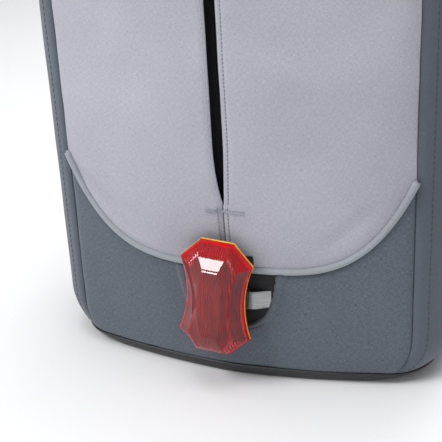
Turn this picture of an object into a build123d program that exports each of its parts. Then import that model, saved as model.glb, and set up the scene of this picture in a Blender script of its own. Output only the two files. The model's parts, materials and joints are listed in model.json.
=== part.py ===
"""Soft day backpack with a clip-on safety light, built as separate sewn and moulded pieces.

Millimetres. +X is the wearer's right, +Y points to the wearer's back, +Z is up.
The origin is the middle of the flat base, on the ground.
"""
from build123d import *
import math
import os

# ---- Driving sizes -------------------------------------------------------------------
body_width = 300.0            # across the side panels
body_height = 450.0           # ground to the top of the arch
front_face = -95.0            # foremost line of the front panel
back_face = 80.0              # outer face of the back panel
front_bow = 23.0              # how far the front panel bows ahead of the sides
front_corner_radius = 38.0
back_corner_radius = 18.0
base_corner_radius = 34.0
top_front_radius = 90.0       # roll from the front panel onto the top
wall = 3.0                    # outer fabric, foam and lining together
front_puff = 10.0             # how far the padded upper panel stands proud

base_height = 8.0             # coated base band
flap_gap = 0.3                # between the flap's lower edge and the base
side_seam = -79.0             # seam between front panels and the flap's gusset
zip_plane = 12.0              # plane of the main zip
zip_gap = 0.15                # from the zip's plane to each row of teeth
zip_tape_width = 13.0
zip_bead_width = 3.0
zip_bead_height = 1.5
zip_low = 40.0                # where the main zip ends above the ground

piping_low = 87.0             # height of the piping at the middle
piping_rise = 146.0           # how much higher its line would be at the full width
piping_power = 4.15
piping_width = 5.0
piping_proud = 1.8

slit_width = 9.0
slit_low = 136.0
slit_high = 338.0
pocket_tape_inner = 3.0       # half the open gap between the pocket zip's tapes
pocket_tape_outer = 18.0
pocket_tape_thickness = 1.0
tack_width = 30.0
tack_height = 2.4
tack_drop = 4.0               # bar tack's centre below the slit
tack_proud = 0.8

pocket_half_width = 100.0
pocket_low = 112.0
pocket_high = 350.0
pocket_depth = 30.0
liner = 1.2

patch_half_width = 34.5
patch_foot_half_width = 21.0
patch_low = 41.0
patch_corner_radius = 14.0
patch_proud = 1.0
loop_low = 58.0               # reflective loop that the light hangs on
loop_high = 72.0
loop_thickness = 1.0
loop_half_span = 30.0
loop_flat_half = 17.0
loop_foot = 4.0               # sewn length at each end of the loop
loop_seat_bow = 1.0           # how far the seat curves away under the loop's ends

light_x = -5.6
light_z = 70.0
light_tilt = 4.5
light_half_height = 42.5
puff_drop = 12.5
puff_start = light_half_height - puff_drop     # plain stretch of panel above the piping
light_half_width = 25.5
light_waist = 20.5
light_end_half_width = 11.5
light_shoulder = 28.0
light_case_depth = 7.5
light_gasket_depth = 1.5
light_lens_depth = 14.5
light_wall = 2.0
lens_rim_depth = 3.0          # straight band at the lens's rim
ridge_depth = 10.0            # from the gasket to the lens's ridge
ridge_half_height = 38.0
ridge_shoulder = 27.0
ridge_half_width = 17.5
ridge_waist = 12.5
ridge_end_half_width = 10.0
face_half_height = 26.0       # the lens's barrel-shaped front facet
face_shoulder = 22.0
face_half_width = 6.5
face_middle = 8.5
face_end_half_width = 5.5
clip_thickness = 1.7
clip_arm_width = 14.0
clip_lever_width = 45.0
clip_lever_top = 38.0         # above the light's middle
clip_lever_low = 14.0
clip_arm_low = -17.0
clip_lever_radius = 11.0
clip_root_inset = 4.0         # from the lever's lower edge to the root
clip_root_drop = 8.0          # from the lever's top to the root
cell_radius = 10.0
cell_thickness = 3.2
cell_spacing = 22.0
cell_rise = 2.0               # the cells' middle above the light's
cell_x = -3.0
contact_half = 2.0
contact_thickness = 0.6
board_thickness = 1.2
led_size = 3.2
led_height = 2.0
led_spacing = 12.0
led_rise = 4.0                # middle LED above the light's middle
reflector_half_width = 9.5
reflector_reach = 22.0        # from the middle LED to the reflector's ends
reflector_depth = 7.0
reflector_wall = 1.2
button_length = 14.0
button_depth = 4.0
button_proud = 1.6
button_gap = 0.3
boss_inset = 8.5              # screw bosses in from the light's ends
boss_radius = 2.6
screw_radius = 1.1
screw_head_radius = 2.2
screw_head_height = 1.0
screw_rest = 1.4              # floor left under a screw

sleeve_depth = 15.0           # room for a laptop against the back
sleeve_top = 330.0
sleeve_side_gap = 24.0        # from the pack's side to the sleeve
sheet_thickness = 1.5
sheet_side_gap = 32.0
sheet_top_gap = 48.0
sheet_foot_gap = 8.0
base_foam_thickness = 6.0
floor_thickness = 1.0
floor_side_gap = 30.0
floor_front_gap = 40.0
floor_back_gap = 20.0

pad_thickness = 12.0
pad_half_width = 46.0
pad_x = 66.0
pad_low = 150.0
pad_high = 330.0
pad_corner_radius = 18.0
pad_edge_radius = 6.0
lumbar_half_width = 86.0
lumbar_low = 40.0
lumbar_high = 120.0

strap_x = 70.0
strap_width = 60.0
strap_thickness = 12.0
strap_reach = 146.0           # y of the strap's straight stretch
strap_straight_high = 325.0
strap_straight_low = 185.0
strap_anchor = 368.0
strap_foot = 150.0
yoke_half_width = 104.0
yoke_low = 342.0
yoke_high = 404.0
yoke_thickness = 2.0
strap_foot_back = 12.0        # the strap's foot leans back by this
webbing_width = 20.0
webbing_thickness = 1.6
anchor_x = 116.0
anchor_z = 34.0
rail_width = 6.0
rail_thickness = 2.0
rail_lift = 1.5               # room behind the rail for the clip's hooks
rail_foot = 5.0
rail_rise = 20.0              # rail's lower end above the strap's straight stretch
lock_half_width = 15.0
lock_length = 26.0
lock_thickness = 5.0
lock_side = 4.0
lock_slot = 5.0
lock_pitch = 10.0

sternum_z = 262.0
buckle_half = 16.0
buckle_half_height = 14.0
buckle_wall = 1.6
buckle_lip = 8.0              # socket's mouth beyond the middle
buckle_depth = 3.0            # plastic each side of the webbing
sternum_clip_half = 13.0
sternum_clip_front = 1.5
hook_half_height = 8.0
hook_thickness = 2.0
hook_reach = 1.5
hook_web = 0.7
web_window = 0.3              # clearance round webbing in a slot
web_tail = 12.0               # webbing beyond each clip's middle

handle_outer = 33.0
handle_inner = 17.0
handle_thickness = 3.0
handle_axis_z = 440.0
handle_leg = 14.0             # straight leg from the axis to the bend
handle_bore = 0.8
handle_pin = 0.72
handle_tab_width = 4.0
handle_tab_half = 3.0

clear = 0.3                   # soft pieces on different bodies
run = 0.4                     # sliding plastic pieces

part_folder = "parts"
os.makedirs(part_folder, exist_ok=True)
built = []

# ---- Worked-out sizes ----------------------------------------------------------------
half_width = body_width / 2
arch_centre = body_height - half_width
flap_low = base_height + flap_gap
far = 2 * body_height
face_y = front_face - patch_proud
clip_back = front_face - piping_proud - run
clip_front = clip_back - clip_thickness
loop_back = clip_front - clear
loop_front = loop_back - loop_thickness
light_back = loop_front - clear
case_front = light_back - light_case_depth
gasket_front = case_front - light_gasket_depth
lens_front = gasket_front - light_lens_depth
case_floor = light_back - 1.5
cell_back = case_floor - 0.2
board_back = cell_back - cell_thickness - contact_thickness
board_front = board_back - board_thickness
button_y = case_floor - 2 * button_gap - button_depth / 2
boss_z = light_half_height - boss_inset
yoke_face = back_face + yoke_thickness
pad_face = back_face + pad_thickness
rail_back = strap_reach + strap_thickness / 2
sternum_y = rail_back + rail_lift + rail_thickness


# ---- Helpers -------------------------------------------------------------------------
def block(x0, x1, y0, y1, z0, z1):
    """A box between two corners."""
    centre = Pos((x0 + x1) / 2, (y0 + y1) / 2, (z0 + z1) / 2)
    return centre * Box(x1 - x0, y1 - y0, z1 - z0)


def rod_y(x, z, radius, y0, y1):
    """A cylinder along Y."""
    return Pos(x, (y0 + y1) / 2, z) * Rot(90, 0, 0) * Cylinder(radius, y1 - y0)


def rod_x(y, z, radius, x0, x1):
    """A cylinder along X."""
    return Pos((x0 + x1) / 2, y, z) * Rot(0, 90, 0) * Cylinder(radius, x1 - x0)


def front_prism(face, y0, y1):
    """A face drawn in X and Z, made solid from y0 to y1."""
    return Pos(0, y1, 0) * extrude(face, amount=y1 - y0, dir=(0, -1, 0))


def keep(node, shape):
    """Write one named piece."""
    solids = shape.solids()
    shape = solids[0] if len(solids) == 1 else Compound(children=list(solids))
    shape.label = node
    export_step(shape, os.path.join(part_folder, node + ".step"))
    built.append(node)


# ---- The pack's form -----------------------------------------------------------------
def pack_form(grow=0.0, puff=0.0):
    """The whole pack as one solid, moved out by grow, with its front further out by puff."""
    half = half_width + grow
    front = front_face - grow - puff
    back = back_face + grow
    shoulder = front_face + front_bow - grow
    side_lines = Polyline((half, shoulder), (half, back), (-half, back), (-half, shoulder))
    bowed = ThreePointArc((-half, shoulder), (0, front), (half, shoulder))
    plan = make_face(side_lines + bowed)
    corners = plan.vertices().sort_by(Axis.Y)
    plan = fillet(corners[:2], front_corner_radius + grow)
    corners = plan.vertices().filter_by(lambda v: v.Y > back - 1)
    plan = fillet(corners, back_corner_radius + grow)
    column = Pos(0, 0, -grow) * extrude(plan, amount=body_height + 2 * grow, dir=(0, 0, 1))

    legs = Polyline((-half, arch_centre), (-half, -grow), (half, -grow), (half, arch_centre))
    arc = ThreePointArc((half, arch_centre), (0, arch_centre + half), (-half, arch_centre))
    outline = make_face(Plane.XZ * (legs + arc))
    corners = outline.vertices().sort_by(Axis.Z)
    outline = fillet(corners[:2], base_corner_radius + grow)
    arch = extrude(outline, amount=far, both=True)

    top = body_height + grow
    profile = Plane.YZ * make_face(
        Polyline((front, -grow), (back, -grow), (back, top), (front, top), close=True)
    )
    corner = profile.vertices().sort_by(Axis.Y)[:2].sort_by(Axis.Z)[-1]
    profile = fillet(corner, top_front_radius + grow)
    side = extrude(profile, amount=far, both=True)
    return column & arch & side


def piping_height(x):
    """Height of the piping's centreline at x."""
    return piping_low + piping_rise * (abs(x) / half_width) ** piping_power


def below_piping(shift):
    """Everything in front of the side seam and below the piping's line moved up by shift."""
    reach = half_width + 20
    half_steps = [0.3, 0.45, 0.6, 0.7, 0.8, 0.9, 1]
    steps = [-s for s in reversed(half_steps)] + [0] + half_steps
    points = [(reach * s, piping_height(reach * s) + shift) for s in steps]
    line = Spline(*points)
    sides = Polyline(points[-1], (reach, -20), (-reach, -20), points[0])
    return front_prism(make_face(Plane.XZ * (line + sides)), -far / 4, side_seam)


outer = pack_form()
inner = pack_form(-wall)
shell = outer - inner
front_zone = block(-far, far, -far, side_seam, flap_low, far)


# ---- Flap: front panels --------------------------------------------------------------
def front_panels():
    """Upper panel in two halves, lower panel and the piping between them."""
    front_shell = shell & front_zone
    lower = front_shell & below_piping(-piping_width / 2)
    keep("front_panel_lower", lower)

    piping = (pack_form(piping_proud) - inner) & front_zone
    piping = (piping & below_piping(piping_width / 2)) - below_piping(-piping_width / 2)
    keep("front_piping", piping)

    puffed = (pack_form(0, front_puff) - inner) & front_zone
    puffed = puffed - below_piping(puff_start)
    plain = (front_shell & below_piping(puff_start)) - below_piping(piping_width / 2)
    upper = puffed + plain
    half_slit = slit_width / 2
    slit = block(-half_slit, half_slit, -far, side_seam, slit_low, slit_high)
    upper = upper - slit
    keep("front_panel_left", upper & block(-far, 0, -far, far, 0, far))
    keep("front_panel_right", upper & block(0, far, -far, far, 0, far))

    skin = pack_form(tack_proud, front_puff) - pack_form(0, front_puff)
    tack_z = slit_low - tack_drop
    half = tack_width / 2
    tack = block(-half, half, -far, 0, tack_z - tack_height / 2, tack_z + tack_height / 2)
    keep("bar_tack", skin & tack)


def front_pocket():
    """Pouch behind the slit, and the open zip's two tapes."""
    pouch = block(-pocket_half_width, pocket_half_width,
                  front_face, front_face + wall + pocket_depth, pocket_low, pocket_high)
    hollow = block(-pocket_half_width + liner, pocket_half_width - liner,
                   -far, front_face + wall + pocket_depth - liner,
                   pocket_low + liner, pocket_high - liner)
    keep("pocket_liner", (pouch - hollow) & inner)
    layer = pack_form(-wall) - pack_form(-wall - pocket_tape_thickness)
    for side, name in ((-1, "left"), (1, "right")):
        ends = sorted((side * pocket_tape_inner, side * pocket_tape_outer))
        strip = block(ends[0], ends[1], -far, 0, slit_low - 6, slit_high + 6)
        keep("pocket_zip_tape_" + name, layer & strip)


slider_z = slit_high - 12.0
slider_length = 12.0
slider_width = slit_width - 1.0
slider_plate = 1.5
slider_back = front_face + wall - clear
slider_front = slider_back - 2.0
pull_axis_y = slider_front - 2.2
pull_length = 30.0
pull_width = 5.0


def pocket_slider():
    """Slider with a plate each side of the tapes, and its hanging pull tab."""
    half = slider_width / 2
    top = slider_z + slider_length / 2
    low = slider_z - slider_length / 2
    tape_back = front_face + wall + pocket_tape_thickness
    face = block(-half, half, slider_front, slider_back, low, top)
    rear = block(-half, half, tape_back + clear, tape_back + clear + slider_plate, low, top)
    post = block(-1.2, 1.2, slider_back, tape_back + clear, low, top)
    lug = block(-1.0, 1.0, pull_axis_y - 1.6, slider_front, slider_z - 1.6, slider_z + 1.6)
    hole = rod_x(pull_axis_y, slider_z, 0.6, -half, half)
    keep("pocket_zip_slider", face + rear + post + (lug - hole))

    ring = rod_x(pull_axis_y, slider_z, 0.54, -pull_width / 2, pull_width / 2)
    cheek_inner = 1.0 + 0.25
    cheeks = []
    for side in (-1, 1):
        ends = sorted((side * cheek_inner, side * pull_width / 2))
        cheeks.append(block(ends[0], ends[1], pull_axis_y - 1, pull_axis_y + 1,
                            slider_z - 4.0, slider_z + 1))
    tab = block(-pull_width / 2, pull_width / 2, pull_axis_y - 1, pull_axis_y + 1,
                slider_z - pull_length, slider_z - 3.0)
    keep("pocket_pull_tab", ring + cheeks[0] + cheeks[1] + tab)


# ---- Flap: loop for the light --------------------------------------------------------
def light_loop():
    """Window patch under the piping, and the reflective strip bridging it."""
    top = piping_low - piping_width / 2
    edge = make_face(Plane.XZ * Polyline(
        (-patch_half_width, top), (patch_half_width, top),
        (patch_foot_half_width, patch_low), (-patch_foot_half_width, patch_low), close=True))
    foot = edge.vertices().sort_by(Axis.Z)[:2]
    edge = fillet(foot, patch_corner_radius)
    skin = pack_form(patch_proud) - outer
    patch = skin & front_prism(edge, -far / 4, side_seam)
    keep("window_patch", patch & below_piping(-piping_width / 2))

    seat = pack_form(patch_proud)
    half = loop_half_span
    flat = loop_flat_half
    seat_y = face_y + loop_seat_bow
    foot_x = half - loop_foot
    path = Polyline((-half, seat_y), (-foot_x, loop_front), (-flat, loop_front),
                    (flat, loop_front), (foot_x, loop_front), (half, seat_y))
    back = Polyline((half, seat_y), (foot_x - 1, seat_y), (flat + loop_foot, loop_back),
                    (-flat - loop_foot, loop_back), (-foot_x + 1, seat_y), (-half, seat_y))
    band = extrude(make_face(path + back), amount=loop_high - loop_low, dir=(0, 0, 1))
    band = Pos(0, 0, loop_low) * band
    keep("reflective_loop", band - seat)


# ---- Clip-on light -------------------------------------------------------------------
def pinched_face(end, shoulder_x, middle, height, shoulder_z):
    """A face with eight corners whose long sides are arcs through the middle's half width."""
    right = ThreePointArc((shoulder_x, shoulder_z), (middle, 0), (shoulder_x, -shoulder_z))
    left = ThreePointArc((-shoulder_x, -shoulder_z), (-middle, 0), (-shoulder_x, shoulder_z))
    top = Polyline((-shoulder_x, shoulder_z), (-end, height), (end, height),
                   (shoulder_x, shoulder_z))
    foot = Polyline((shoulder_x, -shoulder_z), (end, -height), (-end, -height),
                    (-shoulder_x, -shoulder_z))
    return Plane.XZ * make_face(right + foot + left + top)


def light_outline(inset=0.0):
    """The light's outline, drawn in by inset, centred on its middle."""
    return pinched_face(light_end_half_width - 0.6 * inset, light_half_width - inset,
                        light_waist - inset, light_half_height - inset,
                        light_shoulder - 0.3 * inset)


def at_light(shape):
    """Place a piece drawn about the light's own middle."""
    return Pos(light_x, 0, light_z) * Rot(0, light_tilt, 0) * shape


def lens_body(inset):
    """The lens's solid form: a straight rim, a ridge and a smaller barrel-shaped facet."""
    rim_y = gasket_front - lens_rim_depth
    rim = front_prism(light_outline(inset), rim_y, gasket_front)
    ridge = pinched_face(ridge_end_half_width - inset, ridge_half_width - inset,
                         ridge_waist - inset, ridge_half_height - inset,
                         ridge_shoulder - 0.3 * inset)
    facet = pinched_face(face_end_half_width - inset, face_half_width - inset,
                         face_middle - inset, face_half_height - inset,
                         face_shoulder - 0.3 * inset)
    ridge = Pos(0, gasket_front - ridge_depth + inset / 2, 0) * ridge
    facet = Pos(0, lens_front + inset, 0) * facet
    slope = loft([Pos(0, rim_y, 0) * light_outline(inset), ridge], ruled=True)
    return rim + slope + loft([ridge, facet], ruled=True)


def clip_on_light():
    """Every piece of the light that moves as one on the loop."""
    case = front_prism(light_outline(), case_front, light_back)
    cavity = front_prism(light_outline(light_wall), case_front, case_floor)
    slot_half = button_length / 2 + button_gap
    slot_y = button_depth / 2 + button_gap
    slot = block(0, far, button_y - slot_y, button_y + slot_y, -slot_half, slot_half)
    case = (case - cavity) - slot
    for z in (-boss_z, boss_z):
        case = case + rod_y(0, z, boss_radius, case_front, light_back)
        case = case - rod_y(0, z, screw_radius, case_front - 1, light_back - screw_rest)
    keep("light_case", at_light(case))

    gasket = front_prism(light_outline(-0.5), gasket_front, case_front)
    gasket = gasket - front_prism(light_outline(light_wall), gasket_front, case_front)
    keep("light_gasket", at_light(gasket))

    keep("light_lens", at_light(lens_body(0.0) - lens_body(light_wall)))

    board = front_prism(light_outline(light_wall + 0.4), board_front, board_back)
    for z in (-boss_z, boss_z):
        board = board - rod_y(0, z, boss_radius + 0.3, board_front - 1, board_back + 1)
    board = board - block(light_waist - 6, far, -far, 0, -slot_half, slot_half)
    keep("light_board", at_light(board))

    leds = []
    half = led_size / 2
    for z in (led_rise - led_spacing, led_rise, led_rise + led_spacing):
        leds.append(block(-half, half, board_front - led_height, board_front, z - half, z + half))
    keep("light_leds", at_light(Compound(children=leds)))

    reach = reflector_reach
    reflector = block(-reflector_half_width, reflector_half_width,
                      board_front - reflector_depth, board_front,
                      led_rise - reach, led_rise + reach)
    bowl_half = reflector_half_width - reflector_wall
    bowl_reach = reach - reflector_wall
    bowl = block(-bowl_half, bowl_half, board_front - reflector_depth, board_front,
                 led_rise - bowl_reach, led_rise + bowl_reach)
    keep("light_reflector", at_light(reflector - bowl))

    cells = []
    contacts = []
    for z in (cell_rise - cell_spacing / 2, cell_rise + cell_spacing / 2):
        cells.append(rod_y(cell_x, z, cell_radius, cell_back - cell_thickness, cell_back))
        contacts.append(block(2 * cell_x, 0, board_back, board_back + contact_thickness,
                              z - contact_half, z + contact_half))
    keep("light_cells", at_light(Compound(children=cells)))
    keep("light_contacts", at_light(Compound(children=contacts)))

    screws = []
    for z in (-boss_z, boss_z):
        shank = rod_y(0, z, screw_radius, case_front, light_back - screw_rest)
        head = rod_y(0, z, screw_head_radius, case_front - screw_head_height, case_front)
        screws.append(shank + head)
    keep("light_screws", at_light(Compound(children=screws)))

    arm_half = clip_arm_width / 2
    lever_half = clip_lever_width / 2
    lever = block(-lever_half, lever_half, clip_front, clip_back, clip_lever_low, clip_lever_top)
    lever = fillet(lever.edges().filter_by(Axis.Y), clip_lever_radius)
    arm = block(-arm_half, arm_half, clip_front, clip_back, clip_arm_low, clip_lever_low + 1)
    root = block(-arm_half, arm_half, light_back, clip_front,
                 clip_lever_low + clip_root_inset, clip_lever_top - clip_root_drop)
    keep("light_clip", at_light(lever + arm + root))

    half = button_length / 2
    button = block(light_waist - light_wall - 1.5, light_waist + button_proud,
                   button_y - button_depth / 2, button_y + button_depth / 2, -half, half)
    button = fillet(button.faces().sort_by(Axis.X)[-1].edges(), 1.0)
    keep("light_button", at_light(button))


# ---- Flap: gusset and its half of the main zip ---------------------------------------
def zip_band(y0, y1, bead0, bead1, low):
    """Tape in the wall between y0 and y1, with its row of teeth between bead0 and bead1."""
    tape = shell & block(-far, far, y0, y1, low, far)
    teeth = (pack_form(zip_bead_height) - outer)
    teeth = teeth & block(-far, far, bead0, bead1, zip_low, far)
    return tape + teeth


def flap_edges():
    """Gusset round the flap, and the flap's row of teeth."""
    tape_edge = zip_plane - zip_tape_width
    edge = zip_plane - zip_gap
    keep("flap_gusset", shell & block(-far, far, side_seam, tape_edge, flap_low, far))
    keep("main_zip_front", zip_band(tape_edge, edge, edge - zip_bead_width, edge, flap_low))


# ---- Back section --------------------------------------------------------------------
def back_section():
    """Base, rear gusset, back panel and the rear row of teeth."""
    keep("base_panel", shell & block(-far, far, -far, far, -1, base_height))
    tape_edge = zip_plane + zip_tape_width
    edge = zip_plane + zip_gap
    back_seam = back_face - back_corner_radius
    keep("main_zip_rear", zip_band(edge, tape_edge, edge, edge + zip_bead_width, base_height))
    keep("rear_gusset", shell & block(-far, far, tape_edge, back_seam, base_height, far))
    keep("back_panel", shell & block(-far, far, back_seam, far, base_height, far))

    foam = pack_form(-wall - clear) & block(-far, far, -far, far, wall,
                                            wall + base_foam_thickness)
    floor_half = half_width - floor_side_gap
    floor = pack_form(-wall) & block(-floor_half, floor_half, front_face + floor_front_gap,
                                     back_face - floor_back_gap, wall, wall + floor_thickness)
    keep("base_foam", foam + floor)

    room = pack_form(-wall - clear)
    inside = back_face - wall
    low = wall + base_foam_thickness + clear
    half = half_width - sheet_side_gap
    sheet = block(-half, half, inside - sheet_thickness, inside,
                  low + sheet_foot_gap, body_height - sheet_top_gap) & room
    keep("frame_sheet", Pos(0, clear, 0) * sheet)

    front = inside - sheet_thickness - sleeve_depth
    half = half_width - sleeve_side_gap
    pouch = block(-half, half, front - liner, inside - sheet_thickness, low, sleeve_top)
    hollow = block(-half + liner, half - liner, front, inside - sheet_thickness,
                   low + liner, sleeve_top)
    keep("laptop_sleeve", (pouch - hollow) & room)


def back_pads():
    """Two ridges and a lumbar pad on the back panel, and the yoke above them."""
    for side, name in ((-1, "left"), (1, "right")):
        pad = block(side * pad_x - pad_half_width, side * pad_x + pad_half_width,
                    back_face, pad_face, pad_low, pad_high)
        pad = fillet(pad.edges().filter_by(Axis.Y), pad_corner_radius)
        edge = pad.faces().sort_by(Axis.Y)[-1].edges()
        keep("back_pad_" + name, fillet(edge, pad_edge_radius))
    pad = block(-lumbar_half_width, lumbar_half_width, back_face, pad_face,
                lumbar_low, lumbar_high)
    pad = fillet(pad.edges().filter_by(Axis.Y), pad_corner_radius)
    edge = pad.faces().sort_by(Axis.Y)[-1].edges()
    keep("lumbar_pad", fillet(edge, pad_edge_radius))
    yoke = block(-yoke_half_width, yoke_half_width, back_face, yoke_face, yoke_low, yoke_high)
    keep("strap_yoke", yoke)


# ---- Shoulder straps -----------------------------------------------------------------
def ribbon(points, radii, thickness, x0, x1):
    """A strap of even thickness along a path in Y and Z, between x0 and x1."""
    path = FilletPolyline(*points, radius=radii)
    flat = Plane.YZ * trace(path, thickness)
    return Pos(x0, 0, 0) * extrude(flat, amount=x1 - x0, dir=(1, 0, 0))


def shoulder_straps():
    """Padded strap, sternum rail, ladder lock and lower webbing for each side."""
    start = yoke_face + strap_thickness / 2
    for side, name in ((-1, "left"), (1, "right")):
        x0 = side * strap_x - strap_width / 2
        x1 = side * strap_x + strap_width / 2
        points = [(start, strap_anchor - 14), (start + 2, strap_anchor + 22),
                  (strap_reach, strap_anchor - 4), (strap_reach, strap_straight_low),
                  (strap_reach - strap_foot_back, strap_foot)]
        strap = ribbon(points, [12, 30, 60], strap_thickness, x0, x1)
        strap = strap - block(-far, far, -far, yoke_face, 0, far)
        keep("shoulder_strap_" + name, strap)

        mid = side * strap_x
        rail_low = strap_straight_low + rail_rise
        half = rail_width / 2
        bar_back = rail_back + rail_lift
        rail = block(mid - half, mid + half, bar_back, bar_back + rail_thickness,
                     rail_low, strap_straight_high)
        for z in (rail_low, strap_straight_high - rail_foot):
            rail = rail + block(mid - half, mid + half, rail_back, bar_back, z, z + rail_foot)
        keep("sternum_rail_" + name, rail)

        foot_y = strap_reach - strap_foot_back
        lock_top = strap_foot - strap_thickness / 2
        half = lock_thickness / 2
        lock = block(mid - lock_half_width, mid + lock_half_width, foot_y - half, foot_y + half,
                     lock_top - lock_length, lock_top)
        opening = lock_half_width - lock_side
        for z in (lock_top - lock_pitch, lock_top - 2 * lock_pitch):
            lock = lock - block(mid - opening, mid + opening, foot_y - half - 1,
                                foot_y + half + 1, z - lock_slot / 2, z + lock_slot / 2)
        keep("ladder_lock_" + name, lock)

        start_point = Vector(mid, foot_y - half - webbing_thickness - 2 * run, lock_top - 6)
        end_point = Vector(side * anchor_x, back_face + webbing_thickness, anchor_z)
        keep("lower_webbing_" + name, webbing_run(start_point, end_point))


def webbing_run(start_point, end_point):
    """Flat webbing between two points, its width across the run and level."""
    run_vector = end_point - start_point
    across = Vector(1, 0, 0).cross(run_vector).cross(run_vector) * -1
    plane = Plane(origin=start_point, x_dir=across, z_dir=run_vector)
    strip = extrude(plane * Rectangle(webbing_width, webbing_thickness), amount=run_vector.length)
    return strip - block(-far, far, -far, back_face, -far, far)


# ---- Sternum strap -------------------------------------------------------------------
def sternum_clip(mid, web_y0, web_y1):
    """Clip that hooks over a rail at x = mid and holds the webbing in a window."""
    half = sternum_clip_half
    reach = rail_width / 2 + run
    web_half = webbing_width / 2 + web_window
    hook_y = sternum_y - rail_thickness
    clip = block(mid - half, mid + half, sternum_y + run, web_y1 + sternum_clip_front,
                 sternum_z - half, sternum_z + half)
    clip = clip - block(mid - half - 1, mid + half + 1, web_y0 - web_window,
                        web_y1 + web_window, sternum_z - web_half, sternum_z + web_half)
    low = sternum_z - hook_half_height
    high = sternum_z + hook_half_height
    for edge in (-1, 1):
        x0, x1 = sorted((mid + edge * reach, mid + edge * (reach + hook_thickness)))
        clip = clip + block(x0, x1, hook_y - run - hook_web, sternum_y + run, low, high)
        x0, x1 = sorted((mid + edge * (rail_width / 2 - hook_reach),
                         mid + edge * (reach + hook_thickness)))
        clip = clip + block(x0, x1, hook_y - run - hook_web, hook_y - run, low, high)
    return clip


def sternum_strap():
    """Rail clips, webbing and a side-release buckle joining the two straps."""
    web_y0 = sternum_y + run + 1.0
    web_y1 = web_y0 + webbing_thickness
    keep("sternum_clip_left", sternum_clip(-strap_x, web_y0, web_y1))
    keep("sternum_clip_right", sternum_clip(strap_x, web_y0, web_y1))

    level = (sternum_z - webbing_width / 2, sternum_z + webbing_width / 2)
    web_end = strap_x + web_tail
    web_root = buckle_half - 2
    keep("sternum_web_left", block(-web_end, -buckle_half, web_y0, web_y1, *level))
    keep("sternum_web_right", block(web_root, web_end, web_y0, web_y1, *level))

    low = sternum_z - buckle_half_height
    high = sternum_z + buckle_half_height
    back = web_y0 - buckle_depth
    front = web_y1 + buckle_depth
    lip = buckle_lip
    female = block(-lip, buckle_half + lip, back, front, low, high)
    mouth_end = buckle_half - 3
    side = 4.0
    mouth = block(-lip - 1, mouth_end, back + buckle_wall, front - buckle_wall,
                  low + side, high - side)
    grip = block(web_root, buckle_half + lip + 1, web_y0, web_y1, *level)
    keep("buckle_socket", female - mouth - grip)

    root = block(-buckle_half - web_tail, -lip - run, back, front, low, high)
    root = root - block(-buckle_half - web_tail - 1, -buckle_half + 0.5, web_y0 - web_window,
                        web_y1 + web_window, level[0] - web_window, level[1] + web_window)
    shy = 0.5                # the prongs' clearance in the mouth
    prongs = block(-lip - 1, mouth_end - 2, back + buckle_wall + shy, front - buckle_wall - shy,
                   low + side + shy, high - side - shy)
    fork_half = buckle_half_height - 9
    prongs = prongs - block(-lip + 1, buckle_half, back, front,
                            sternum_z - fork_half, sternum_z + fork_half)
    keep("buckle_prongs", root + prongs)


# ---- Haul handle ---------------------------------------------------------------------
def haul_handle():
    """Flat webbing handle hanging against the yoke, between two sewn tabs."""
    axis_y = yoke_face + clear + handle_thickness / 2
    low = handle_axis_z - handle_leg
    y0 = axis_y - handle_thickness / 2
    y1 = axis_y + handle_thickness / 2
    ring = rod_y(0, low, handle_outer, y0, y1) - rod_y(0, low, handle_inner, y0 - 1, y1 + 1)
    grip = ring & block(-far, far, -far, far, 0, low)
    for side in (-1, 1):
        x0, x1 = sorted((side * handle_inner, side * handle_outer))
        grip = grip + block(x0, x1, y0, y1, low, handle_axis_z)
        grip = grip + rod_x(axis_y, handle_axis_z, handle_thickness / 2, x0, x1)
        grip = grip - rod_x(axis_y, handle_axis_z, handle_bore, x0 - 1, x1 + 1)
    keep("haul_handle", grip)

    tabs = []
    outer_x = handle_inner - clear
    for side in (-1, 1):
        x0, x1 = sorted((side * (outer_x - handle_tab_width), side * outer_x))
        tab = block(x0, x1, back_face, axis_y + handle_thickness / 2,
                    handle_axis_z - handle_tab_half, handle_axis_z + handle_tab_half)
        x0, x1 = sorted((side * (handle_inner - 2), side * (handle_outer - 1)))
        tabs.append(tab + rod_x(axis_y, handle_axis_z, handle_pin, x0, x1))
    keep("handle_tabs", Compound(children=tabs))


# ---- Main zip sliders ----------------------------------------------------------------
main_slider_angle = 5.0
main_slider_length = 15.0
main_slider_width = 10.0
main_plate = 2.4
main_pull_length = 32.0


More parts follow.
